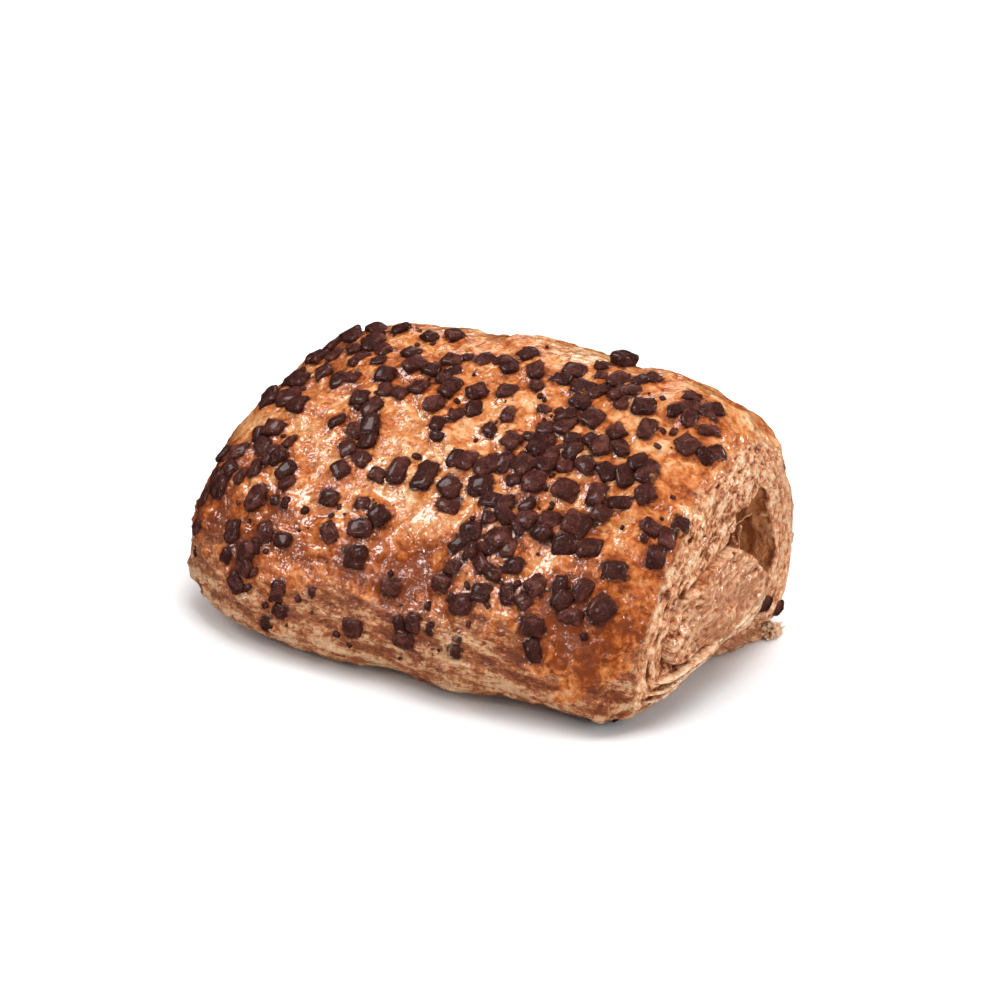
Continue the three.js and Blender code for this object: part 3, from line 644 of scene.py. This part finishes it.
def makeDoughForm():
    counts = [dough[part] for part in ("leftRings", "bodyRings", "faceRings", "hollowRings", "floorRings")]
    mesh, heading, up = ballOf("pastryCrust", dough["sides"], sum(counts))
    ring = np.rint(up * sum(counts))
    side = np.rint((np.degrees(heading) + 180) / 360 * dough["sides"]) % dough["sides"]
    side = np.where((up == 0) | (up == 1), 0, side).astype(int)
    dense, even = sideAngles()

    # how far each ring has come over the left end, the body and the face, down the hollow and over its floor
    stops = np.cumsum(counts)
    overLeft, overBody, overFace, downHollow, overFloor = [
        np.clip((ring - start) / (stop - start), 0, 1) for start, stop in zip([0, *stops[:-1]], stops)]
    leftCorner, rightCorner = 0.5 ** (1 / roll["leftRoundness"]), 0.5 ** (1 / roll["rightRoundness"])
    leftX, rightX = -leftCorner * roll["leftLength"], rightCorner * roll["rightLength"]
    onLeft, onEnd = ring < stops[0], ring > stops[1]
    x = leftX + (rightX - leftX) * overBody
    share = np.where(onLeft, overLeft * leftCorner, girthShare(x))
    leftBulge = np.maximum(1 - share ** roll["leftRoundness"], 0) ** (1 / roll["leftRoundness"])
    x = np.where(onLeft, -roll["leftLength"] * leftBulge, x)
    towardsEnd = smooth(20, rightX, x)
    angle = dense[side] * (1 - towardsEnd) + even[side] * towardsEnd
    plain = rollPoint(x, share, angle)

    # the face: straight lines from the rim to the edge of the hollow, laid on the rounded end
    rim = rollPoint(np.full(len(x), rightX), rightCorner, even[side])
    away = rim[:, 1:] - dough["hollowCentre"]
    heading = np.arctan2(away[:, 0], away[:, 1])
    rimReach = np.hypot(away[:, 0], away[:, 1])
    edgeReach = outlineReach(dough["hollowOutline"], dough["hollowCentre"], heading)
    narrow = 1 - dough["hollowTaper"] * downHollow ** 1.6
    reach = rimReach + (edgeReach - rimReach) * overFace
    reach = np.where(ring > stops[2], edgeReach * narrow * (1 - overFloor), reach)
    centres = dough["hollowCentre"] + np.outer(downHollow, np.subtract(dough["hollowFloor"], dough["hollowCentre"]))
    ended, endShare = endPlace(centres[:, 0] + reach * np.sin(heading), centres[:, 1] + reach * np.cos(heading))
    plain[onEnd], share[onEnd] = ended[onEnd], endShare[onEnd]
    points = swell(plain)
    points[:, 0] -= dough["hollowDepth"] * downHollow
    writePoints(mesh, points)
    fields = {"x": plain[:, 0], "share": share, "degrees": np.degrees(angle), "onEnd": onEnd, "hollow": downHollow}
    return mesh, points, fields


def nearChips(points, placed):
    # distance from every point to the outline of the nearest chip, in mm
    nearest = np.full(len(points), 9.0)
    for chip in placed:
        apart = points - chip["centre"]
        close = np.flatnonzero(np.abs(apart).max(axis=1) < 7)
        u, v = apart[close] @ chip["along"], apart[close] @ chip["across"]
        halfLong, halfWide = chip["length"] / 2, chip["width"] / 2
        outside = (np.abs(u / halfLong) ** 3 + np.abs(v / halfWide) ** 3) ** (1 / 3) - 1
        nearest[close] = np.minimum(nearest[close], outside * (halfLong + halfWide) / 2)
    return nearest


def findAreas(points, fields, placed):
    # how far every point belongs to the cut end, the hollow, the bare foot and the skin, and how near a chip it is
    x, z, degrees = fields["x"], points[:, 2], fields["degrees"]
    edgeNoise = noiseAt(points, 5, 2)
    share = fields["share"] + 0.05 * edgeNoise + 0.02 * noiseAt(points, 1.6, 2, 51.0)
    cut = np.where(fields["onEnd"] & (x > 40), 1 - smooth(0.77, 0.81, share), 0)
    deep = 0.5 * smooth(0, 0.2, fields["hollow"]) + 0.5 * smooth(0.25, 0.9, fields["hollow"])
    streak = noiseAt(points + np.outer(points[:, 0], (0, 0, 0.22)), 2.3, 4, 83.0, (0.32, 0.9, 1.2))
    ragged = 8 * edgeNoise + 9 * streak + 13 * noiseAt(points, 15, 2, 37.0)
    glazeRun = sum(amount * bell(x, middle, reach) for middle, reach, amount in dough["glazeRuns"])
    foot = smooth(-79, -96, degrees + 0.7 * ragged + glazeRun) + smooth(74, 97, degrees + ragged)
    foot = np.clip(np.maximum(foot, smooth(7, 1, z + 0.25 * ragged)), 0, 1) * (1 - cut)
    # the skin is torn open in a few small spots, and more easily near the cut end
    tearing = noiseAt(points, 5.5, 4, 61.0, (0.8, 1, 1.5)) - 0.5 * smooth(46, 49.5, x)
    skin = smooth(-0.03, 0.05, tearing + 1.15)
    distance = nearChips(points, placed)
    pooled = bell(np.maximum(distance, 0), 0, 0.9) * (1 - cut)
    return {**fields, "cut": cut, "deep": deep, "streak": streak, "foot": foot, "skin": skin, "distance": distance,
            "pooled": pooled, "torn": noiseAt(points, 1.3, 3, 71.0)}


def crustRelief(points, area):
    # blisters with creases between them, folds at the right shoulder and ledges low on the sides
    broad = noiseAt(points, 6.5, 2, 5.0)
    billow = np.abs(noiseAt(points, 4.2, 2, 21.0)) - 0.2
    small = np.abs(noiseAt(points, 1.9, 2, 31.0)) - 0.2
    blister = np.maximum(1 - (cellsAt(points, 4.0, 2.0) / 0.6) ** 2, 0)
    puffed = blister * smooth(-0.05, 0.45, noiseAt(points, 10, 2, 11.0))
    across = noiseAt(points, 4.0, 3, 7.0, (0.3, 1, 1.3))
    step = (points[:, 2] / 3.4 + 1.5 * across) % 1
    ledges = 0.3 * across + 0.4 * (step * (1 - smooth(0.82, 1.0, step)) - 0.4)
    low = smooth(-58, -92, area["degrees"]) + smooth(60, 90, area["degrees"])
    shoulder = bell(area["x"], 43, 6) * smooth(15, -15, area["degrees"]) * smooth(-105, -85, area["degrees"])
    folds = dough["foldHeight"] * (np.abs(noiseAt(points, 3.6, 2, 41.0, (1.3, 0.5, 0.5))) - 0.25)
    relief = dough["broadHeight"] * broad + dough["billowHeight"] * billow + dough["creaseHeight"] * small
    relief += dough["blisterHeight"] * puffed + low * ledges + shoulder * folds + dough["pooledHeight"] * area["pooled"]
    relief += area["foot"] * (dough["streakHeight"] * area["streak"] + 0.15 * area["torn"])
    relief += (1 - area["skin"]) * (0.35 * area["torn"] - 0.25)
    return relief, 1.6 * billow + 1.4 * small + 0.4 * broad + 0.8 * puffed


def endRelief(points, area):
    # porous crumb whose slots follow the rim, fine arcs on the far side, and dents under the fold and its layers
    y, z, onEnd = points[:, 1], points[:, 2], area["onEnd"]
    rimCorner = 0.5 ** (1 / roll["rightRoundness"])
    rimLine = rollPoint(np.full(72, 46.4), rimCorner, np.linspace(-math.pi, math.pi, 73)[:-1])[:, 1:]
    rimDepth = np.zeros(len(points))
    rimDepth[onEnd] = insideOutline(y[onEnd], z[onEnd], rimLine)
    warp = noiseAt(points, 6, 3, 3.0)
    layer = rimDepth + 1.4 * warp
    inFront, behind = 1 - 0.8 * smooth(10, 16, y), smooth(12, 17, y)
    ridges = noiseAt(columns(layer, y * 0.2, z * 0.2), 1.6, 2)
    rough = noiseAt(points, 1.5, 3, 15.0)
    holeArea = inFront * smooth(0.0, 0.3, noiseAt(points, 4, 2, 29.0) + 0.12)
    hole = holeArea * smooth(0.36, 0.16, cellsAt(columns(layer, y * 0.5, z * 0.5), 1.4, 9.0))
    slotArea = inFront * smooth(-0.1, 0.3, noiseAt(points, 6, 2, 9.0) + 0.3 * smooth(-12, -22, y))
    slot = slotArea * smooth(0.34, 0.16, cellsAt(columns(layer, y * 0.2, z * 0.2), 1.5, 4.0))
    arcs = np.abs(np.sin(np.hypot(y - 5, (z - 22) * 0.8) * 2.1 + 1.4 * warp))
    groove = bell(rimDepth, 3.6, 0.4) * smooth(8, 14, y) * smooth(14, 22, z)
    bed = smooth(-0.3, 0.9, insideOutline(y, z, dough["bedOutline"]))
    foldEdge = bell(insideOutline(y, z, dough["foldOutline"]), -0.1, 0.55) * (1 - bed)
    recess = smooth(-0.1, 1.3, insideOutline(y, z, dough["recessOutline"])) * area["cut"]
    relief = dough["ridgeHeight"] * ridges + dough["roughHeight"] * rough + dough["warpHeight"] * warp
    relief -= dough["holeDepth"] * hole + dough["slotDepth"] * slot
    relief = relief * (1 - 0.65 * behind) + dough["arcHeight"] * (arcs - 0.5) * behind
    relief -= dough["grooveDepth"] * groove + dough["foldEdgeDepth"] * foldEdge + dough["bedDepth"] * bed
    # painted shade: the tone darkens in the holes, slots and groove, in the recess, in the deeper bed under the fold
    # and along the fold's outline
    raised = 0.8 * ridges + 0.8 * rough - 1.6 * hole - 2.2 * slot + behind * (arcs - 0.4)
    raised -= 1.5 * groove + 0.6 * recess + 3 * bed + 2 * foldEdge
    return relief * (1 - 0.6 * recess), raised, layer, recess, behind


def wallRelief(points, area):
    # the wall of the hollow: thin folds and soft dents
    y, z = points[:, 1], points[:, 2]
    crease = bell(z + 0.1 * (y - 3), 27.4, 0.4) * smooth(0.75, 0.35, area["hollow"]) * smooth(2, 5, y)
    crease += 0.6 * bell(y - 0.25 * (z - 20), 13, 0.6) * smooth(24, 22, z)
    return crease + noiseAt(points, 2.2, 2, 13.0, (0.6, 1, 0.3))


def makeDough(placed, material):
    mesh, plain, fields = makeDoughForm()
    area = findAreas(plain, fields, placed)
    cut, deep = area["cut"], area["deep"]
    crust, crustRaised = crustRelief(plain, area)
    end, endRaised, layer, recess, behind = endRelief(plain, area)
    wall = wallRelief(plain, area)
    relief = crust * (1 - cut) + end * cut * (1 - smooth(0, 0.4, deep))
    relief += dough["wallHeight"] * wall * smooth(0, 0.3, deep)
    relief *= 0.1 + 0.9 * smooth(0, 2, plain[:, 2])
    points = plain + readNormals(mesh) * relief[:, None]
    points[:, 0] -= dough["recessDepth"] * recess
    points[:, 2] = np.maximum(points[:, 2], 0)
    writePoints(mesh, toFrame(points))

    # painted highlight: the folds of the hollow's wall raise the tone, so they read paler, as lit ridges
    cutRaised = endRaised * (1 - smooth(0, 0.2, deep)) + 4.5 * wall * smooth(0, 0.2, deep)
    browning = 0.42 * area["pooled"] + 0.14 * noiseAt(points, 7, 3, 17.0)
    for x, degrees, reachX, reachDegrees, amount in dough["brownings"]:
        browning += amount * bell(area["x"], x, reachX) * bell(area["degrees"], degrees, reachDegrees)
    # a dark chocolate-coloured rim at each chip's foot: melted chocolate and painted contact shade
    smear = 0.45 * bell(np.maximum(area["distance"], 0.1), 0.1, 0.4) * (1 + 0.8 * area["torn"])
    for place, reach in dough["smears"]:
        apart = np.linalg.norm((points - place) / np.array(reach), axis=1)
        smear = np.maximum(smear, smooth(1.15, 0.85, apart + 0.5 * area["torn"]))
    keepDough(mesh, cut=cut, deep=deep, foot=area["foot"], skin=area["skin"], streak=area["streak"], smear=smear,
              layer=layer, browning=np.clip(browning, 0, 1) * (1 - cut), onFold=0.5 * behind * cut,
              raised=np.where(cut > 0.5, cutRaised, crustRaised))
    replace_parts(bakedPiece(mesh, material), "pastry")


def onEndFace(y, z):
    return swell(endPlace(y, z)[0])


def makeFold(material):
    # the inner fold: a slab on the cut end whose right edge hangs free over the hollow
    fold = {
        "sides": 300, "rings": 110, "centre": (-4, 16.4), "proud": 2.1, "leftProud": 0.8, "inward": 1.4, "veins": 0.75,
    }
    mesh, heading, up = ballOf("innerFold", fold["sides"], fold["rings"])
    # the slab's back, its edge and its face: how far in from the outline, how thick, how far over the face
    inset = np.interp(up, [0, 0.08, 0.11, 0.14, 0.2, 0.23, 0.26, 0.3], [0.4, 0.4, 0.1, 0, 0, 0.08, 0.25, 0.6])
    level = np.interp(up, [0.08, 0.11, 0.14, 0.2, 0.23, 0.26, 0.3], [0, 0.06, 0.15, 0.75, 0.9, 0.97, 1])
    over = np.interp(up, [0, 0.08, 0.3, 1], [1, 0, 0, 1])
    reach = outlineReach(dough["foldOutline"], fold["centre"], heading)
    reach += 0.22 * noiseAt(columns(np.sin(heading) * 14, np.cos(heading) * 14, 0), 1.6, 2, 33.0)
    reach = (reach - inset) * (1 - over)
    y, z = fold["centre"][0] + reach * np.sin(heading), fold["centre"][1] + reach * np.cos(heading)
    # the wrinkles run down to the left, and the left part is porous
    veins = noiseAt(columns((z + y * 0.9) * 0.3, z - y * 0.42, 0), 1.9, 3, 19.0)
    rough = noiseAt(columns(0, y, z), 1.3, 3, 15.0)
    leftPart = smooth(-6, -16, y)
    pitted = smooth(0.3, 0.12, cellsAt(columns(0, y * 0.75 + z * 0.3, z), 1.9, 3.0))
    pitted *= leftPart + smooth(0.1, 0.4, noiseAt(columns(0, y, z), 5, 1, 8.0))
    proud = fold["leftProud"] + (fold["proud"] - fold["leftProud"]) * smooth(-19, 0, y)
    proud += fold["veins"] * veins + 0.15 * rough - 0.7 * pitted + 0.5 * np.sin(y * 0.4 + z * 0.25)
    points = onEndFace(y, z)
    points[:, 0] += -fold["inward"] + level * (fold["inward"] + proud)
    writePoints(mesh, toFrame(points))
    # painted shadow: the tone darkens along the fold's lower edge, and painted shade fills its pits
    under = smooth(-0.2, -0.6, np.cos(heading)) * (1 - level)
    keepDough(mesh, cut=1, onFold=1 - 0.6 * leftPart, raised=1.1 * veins + 0.6 * rough - 1.8 * pitted - 5 * under,
              layer=1.6 * (z - y * 0.42))
    bakedPiece(mesh, material)


def makeBands(material):
    # three thin layers under the fold: places as [y, z], half thickness, how far proud, how porous
    bands = {
        "sides": 16, "rings": 190, "inward": 2.4,
        "paths": [
            [[[13.2, 13.3], [0, 11], [-10, 9.4], [-18, 8.4], [-24, 8.6]], 0.55, 2.3, 0],
            [[[12.8, 12.1], [0, 9.7], [-10, 8], [-18, 6.9], [-25, 6.6]], 0.52, 2, 0],
            [[[11, 10.8], [0, 8.4], [-10, 6.7], [-18, 5.5], [-25, 5]], 0.55, 1.5, 0.1],
        ],
    }
    pieces = bmesh.new()
    raised, smear = [], []
    for number, (corners, half, proud, porous) in enumerate(bands["paths"]):
        single, heading, up = ballOf("singleLayer", bands["sides"], bands["rings"])
        corners = np.array(corners, float)
        lengths = np.concatenate([[0], np.cumsum(np.linalg.norm(np.diff(corners, axis=0), axis=1))])
        fine = np.linspace(0, lengths[-1], 400)
        line = np.stack([np.interp(fine, lengths, corners[:, i]) for i in (0, 1)], axis=-1)
        for _ in range(60):
            line[1:-1] = (line[:-2] + 2 * line[1:-1] + line[2:]) / 4
        ahead = np.gradient(line, axis=0)
        ahead /= np.linalg.norm(ahead, axis=1)[:, None]
        along = up * lengths[-1]
        y, z, aheadY, aheadZ = [np.interp(along, fine, values) for values in (*line.T, *ahead.T)]

        taper = np.maximum(1 - np.abs(2 * up - 1) ** 8, 0) ** 0.5
        squared = 1 / (np.sin(heading) ** 4 + np.cos(heading) ** 4) ** 0.25
        thick = half * (1 + 0.22 * noiseAt(columns(along, 0, 0), 3, 2, number * 7.7)) * taper
        aside = 0.14 * noiseAt(columns(along, 0, 0), 7, 2, number * 3.3) + thick * np.sin(heading) * squared
        y -= aheadZ * aside
        points = onEndFace(y, z + aheadY * aside)
        out = (np.cos(heading) * squared + 1) / 2
        ragged = noiseAt(points, 1.6, 3, number * 5.0)
        pitted = porous * smooth(0.3, 0.1, cellsAt(points * (1, 0.7, 1), 1.6, number * 2.0))
        reach = (proud + 0.2 * ragged * (0.5 + porous) - 0.5 * pitted) * taper - 1.4 * (1 - taper)
        points[:, 0] += -bands["inward"] + out * (bands["inward"] + reach)
        points[:, 2] = np.maximum(points[:, 2], 0)
        writePoints(single, points)
        # painted shade: each layer's face darkens along its upper edge under the layer above, on its sides and back,
        # and in its pits
        shadedUpperEdge = smooth(0.3, 0.6, np.sin(heading))
        raised.append(0.5 * ragged - 1.2 * pitted + 5.5 * (np.minimum(out, 0.86) - 0.82) - 3.4 * shadedUpperEdge + 0.5)
        smear.append(0.8 * shadedUpperEdge * (number == 2) * smooth(9, 5, y))
        pieces.from_mesh(single)
        bpy.data.meshes.remove(single)
    mesh = meshFrom("doughLayers", pieces)
    points = readPoints(mesh)
    writePoints(mesh, toFrame(points))
    keepDough(mesh, cut=1, layer=points[:, 2] * 1.6 - points[:, 1] * 0.3, raised=np.concatenate(raised),
              smear=np.concatenate(smear))
    bakedPiece(mesh, material)


def makeLowestLayer(material):
    # the lowest layer under the lifted edge: outline as [x, y], and height
    lowest = {
        "sides": 170, "rings": 60, "centre": (40, 15), "height": 7.4,
        "outline": [[30, 0], [42.6, 5], [47, 13], [49, 19.5], [46, 26], [32, 26]],
    }
    mesh, heading, up = ballOf("lowestLayer", lowest["sides"], lowest["rings"])
    reach = outlineReach(lowest["outline"], lowest["centre"], heading)
    reach *= np.interp(up, [0, 0.1, 0.16, 0.8, 0.88, 1], [0, 0.9, 1, 1, 0.9, 0])
    x, y = lowest["centre"][0] + reach * np.sin(heading), lowest["centre"][1] + reach * np.cos(heading)
    z = np.interp(up, [0.1, 0.16, 0.8, 0.88], [0, 0.07, 0.93, 1]) * lowest["height"]
    points = columns(x, y, z)
    sheets = noiseAt(columns(x * 0.25, y * 0.25, z * 1.6 + 0.3 * y), 1.4, 2, 2.0)
    rough = noiseAt(points, 1.6, 3, 4.0)
    points[:, :2] += (points[:, :2] - lowest["centre"]) * (0.06 * sheets + 0.03 * rough)[:, None]
    writePoints(mesh, toFrame(points))
    keepDough(mesh, cut=1, onFold=0.9, layer=z * 2 + 0.5 * y, raised=0.9 * sheets + 0.7 * rough - 0.2)
    bakedPiece(mesh, material)


def makeFrayedCorner(material):
    # a torn, pale corner of the lowest layer
    corner = {"centre": (49.6, 21, 1.1), "size": (1.5, 2.3, 1.5), "torn": 0.75, "pits": 0.45, "lowest": 0.15}
    bm = bmesh.new()
    bmesh.ops.create_icosphere(bm, subdivisions=5, radius=1)
    mesh = meshFrom("frayedCorner", bm)
    ball = readPoints(mesh)
    torn = noiseAt(ball, 0.4, 3, 6.0)
    reach = 1 + corner["torn"] * torn - corner["pits"] * smooth(0.4, 0.1, cellsAt(ball, 0.42, 8.0))
    points = ball * reach[:, None] * corner["size"] + corner["centre"]
    points[:, 2] = np.maximum(points[:, 2], corner["lowest"])
    writePoints(mesh, toFrame(points))
    keepDough(mesh, cut=1, layer=ball[:, 2] * 3, raised=1.2 * torn + 1.2)
    bakedPiece(mesh, material)


def makeStrands(material):
    # a string of dough across the hollow and torn shreds beside it: both ends and thickness
    strands = [
        [(52.3, 2.7, 28.8), (52.3, 2.3, 23.8), 0.22], [(51.9, 2.4, 24.8), (51.3, 1.7, 27), 0.15],
        [(50.6, 2.4, 27.9), (48.2, 14.6, 26.4), 0.26],
    ]
    pieces = bmesh.new()
    for number, (start, end, thickness) in enumerate(strands):
        single, heading, up = ballOf("singleStrand", 10, 20)
        wander = columns(*(noiseAt(columns(up * 9 + axis * 30, 0, 0), 2.5, 2, number * 4.0) for axis in range(3)))
        thin = thickness * (1.9 - 1.3 * np.sin(up * math.pi)) * np.sin(np.clip(up, 0.02, 0.98) * math.pi) ** 0.3
        points = start + np.outer(up, np.subtract(end, start)) + 0.4 * wander
        points += thin[:, None] * columns(np.sin(heading), 0.8 * np.cos(heading), 0.6 * np.cos(heading))
        writePoints(single, toFrame(points))
        pieces.from_mesh(single)
        bpy.data.meshes.remove(single)
    mesh = meshFrom("doughStrands", pieces)
    keepDough(mesh, cut=1, raised=0.2, layer=0.5)
    bakedPiece(mesh, material)


def cubeOf(cuts):
    # a cube 2 across with evenly cut faces, and its points
    bm = bmesh.new()
    bmesh.ops.create_cube(bm, size=2)
    bmesh.ops.subdivide_edges(bm, edges=bm.edges[:], cuts=cuts, use_grid_fill=True)
    single = meshFrom("single", bm)
    return single, readPoints(single)


def bakeCopies(name, single, points, material):
    # one piece with a copy of a mesh for every set of points, each in a tone of its own
    copies = bmesh.new()
    for _ in points:
        copies.from_mesh(single)
    bpy.data.meshes.remove(single)
    mesh = meshFrom(name, copies)
    writePoints(mesh, toFrame(np.concatenate(points)))
    keepField(mesh, "chipTone", np.repeat(np.arange(len(points)) * 0.618 % 1, len(points[0])))
    bakedPiece(mesh, material)


def makeChips(placed, material):
    shape = {
        "cuts": 3, "squareness": 4.6, "grow": 0.96, "flat": 0.58, "thinnest": 0.15, "outline": 0.22, "dents": 0.34,
        # the chip that stands on the ridge: place along the roll, angle and how much higher it is
        "standing": (21.5, 2.5), "lift": 1.7,
    }
    single, corners = cubeOf(shape["cuts"])
    power = shape["squareness"]
    rounded = corners * (np.abs(corners).max(axis=1) / (np.abs(corners) ** power).sum(axis=1) ** (1 / power))[:, None]
    top = (rounded[:, 2] + 1) / 2
    taper = shape["grow"] * (0.86 + 0.2 * smooth(0.3, 0.7, top) - 0.06 * smooth(0.8, 1, top))
    standingPlace = crustFrame(shape["standing"][0], math.radians(shape["standing"][1]))["centre"]
    points = []
    for i, chip in enumerate(placed):
        wide = taper * (1 + shape["outline"] * noiseAt(rounded * (1, 1, 0) + i * 7.3, 1.1, 2))
        local = rounded * columns(wide, wide, 1)
        bend = 0.12 * math.sin(i * 2.4) * local[:, 0] + 0.1 * math.cos(i * 1.7) * local[:, 1]
        rise = chip["rise"] * shape["flat"] + shape["thinnest"]
        if np.linalg.norm(chip["centre"] - standingPlace) < 0.5:
            rise += shape["lift"]
        level = -chips["sunk"] + top * (rise + chips["sunk"]) * (1 + bend)
        level += shape["dents"] * noiseAt(local + i * 3.1, 1.0, 2) * top
        sized = columns(local[:, 0] * chip["length"] / 2, local[:, 1] * chip["width"] / 2, level)
        points.append(chip["centre"] + sized @ np.stack([chip["along"], chip["across"], chip["up"]]))
    bakeCopies("chocolateChips", single, points, material)


def makeCrumbs(material):
    # bits of chocolate round the clumps
    crumbs = {
        "seed": 911, "cuts": 1, "perClump": (0, 2), "size": (0.45, 1.2), "away": (2.5, 6.5), "farthest": 46,
        "level": 0.25, "flat": 0.7,
    }
    draws = Draws(crumbs["seed"])
    single, corners = cubeOf(crumbs["cuts"])
    shape = corners / np.linalg.norm(corners, axis=1)[:, None] * 0.5 + corners * 0.2
    points = []
    for x, angle, _, count, _ in chips["clumps"]:
        middle = crustFrame(x, math.radians(angle))
        for _ in range(int(draws.between(*crumbs["perClump"]) + 0.5)):
            turn, away = draws.between(0, 2 * math.pi), draws.between(*crumbs["away"]) * (0.7 + 0.1 * count)
            placeX = min(max(x + away * math.cos(turn), -crumbs["farthest"]), crumbs["farthest"])
            place = crustFrame(placeX, math.radians(angle) + away * math.sin(turn) / middle["stretch"])
            width = draws.between(*crumbs["size"]) * draws.between(0.6, 1)
            yaw = draws.between(0, math.pi)
            along = place["along"] * math.cos(yaw) + place["across"] * math.sin(yaw)
            across = np.cross(place["up"], along)
            local = shape * (1 + 0.25 * noiseAt(shape + turn, 0.6, 1))[:, None]
            local *= (width * draws.between(1, 1.6), width, width * crumbs["flat"])
            centre = place["centre"] + place["up"] * crumbs["level"]
            points.append(centre + local @ np.stack([along, across, place["up"]]))
    bakeCopies("chocolateCrumbs", single, points, material)


def makeStage():
    stage = {
        "azimuth": 34.04, "elevation": 21.93, "distance": 506.05, "lens": 100, "target": (4.158, -0.4, 23.743),
        # in metres
        "tableSize": 4, "lightDistance": 2.6,
        "roomLight": 0.37,
        # name, direction from the pastry, size in metres, brightness, whether it lights surfaces, whether it shows
        # in reflections
        "lights": [
            ["windowLight", (-0.6, -0.34, 0.72), (1.1, 1.1), 4, True, False],
            ["sheenLight", (-0.62, -0.3, 0.72), (0.8, 0.8), 13, False, True],
            ["frontLight", (-0.5, -0.84, 0.2), (0.25, 0.25), 30, False, True],
            ["shoulderLight", (0.16, -0.6, 0.78), (0.4, 0.4), 13, False, True],
            ["keyLight", (-0.4, -0.75, 0.6), (0.22, 0.22), 36, True, True],
            ["backLight", (-0.46, 0.7, 0.52), (0.9, 0.5), 3.2, True, True],
            ["overheadLight", (0.1, 0.25, 1), (2.2, 2.2), 4.7, True, False],
            ["sideLight", (0.86, -0.36, 0.5), (1.4, 1.4), 4.2, True, False],
            ["sparkLight", (0.72, 0.56, 0.38), (0.6, 0.6), 32, False, True],
        ],
    }
    scene = bpy.context.scene
    bm = bmesh.new()
    bmesh.ops.create_grid(bm, x_segments=1, y_segments=1, size=stage["tableSize"])
    table = newPiece(meshFrom("tableTop", bm), makeTableMaterial())
    table.visible_glossy = False

    def placeOnStage(name, data, location, facing):
        # facing is the direction of the object's own +Z
        placed = bpy.data.objects.new(name, data)
        scene.collection.objects.link(placed)
        placed.location = location
        placed.rotation_mode = "QUATERNION"
        placed.rotation_quaternion = facing.to_track_quat("Z", "Y")
        return placed

    a, e = math.radians(stage["azimuth"]), math.radians(stage["elevation"])
    back = Vector((math.sin(a) * math.cos(e), -math.cos(a) * math.cos(e), math.sin(e)))
    lens = bpy.data.cameras.new("camera")
    lens.lens, lens.sensor_width = stage["lens"], 36
    lens.clip_start, lens.clip_end = 0.05, 20
    target = Vector(toFrame(np.array(stage["target"])))
    scene.camera = placeOnStage("camera", lens, target + back * stage["distance"] * 0.001, back)

    for name, towards, size, brightness, lit, reflected in stage["lights"]:
        light = bpy.data.lights.new(name, "AREA")
        light.shape = "RECTANGLE"
        light.size, light.size_y = size
        light.energy = brightness * math.pi * size[0] * size[1]
        direction = Vector(towards).normalized()
        lamp = placeOnStage(name, light, direction * stage["lightDistance"], direction)
        lamp.visible_diffuse, lamp.visible_glossy = lit, reflected
    world = bpy.data.worlds.new("studio")
    world.use_nodes = True
    world.node_tree.nodes["Background"].inputs[0].default_value = (1, 1, 1, 1)
    world.node_tree.nodes["Background"].inputs[1].default_value = stage["roomLight"]
    world.cycles_visibility.glossy = False
    scene.world = world
    scene.view_settings.view_transform = "Standard"


makeStage()
print("stage ready")
placedChips = placeChips()
print("chips placed:", len(placedChips))
bakedCrust = makeCrustMaterial()
darkChocolate = makeChipMaterial()
makeDough(placedChips, bakedCrust)
print("dough made")
makeFold(bakedCrust)
makeBands(bakedCrust)
makeLowestLayer(bakedCrust)
makeFrayedCorner(bakedCrust)
makeStrands(bakedCrust)
print("layers of the cut end made")
makeChips(placedChips, darkChocolate)
makeCrumbs(darkChocolate)
print("chips and crumbs made")
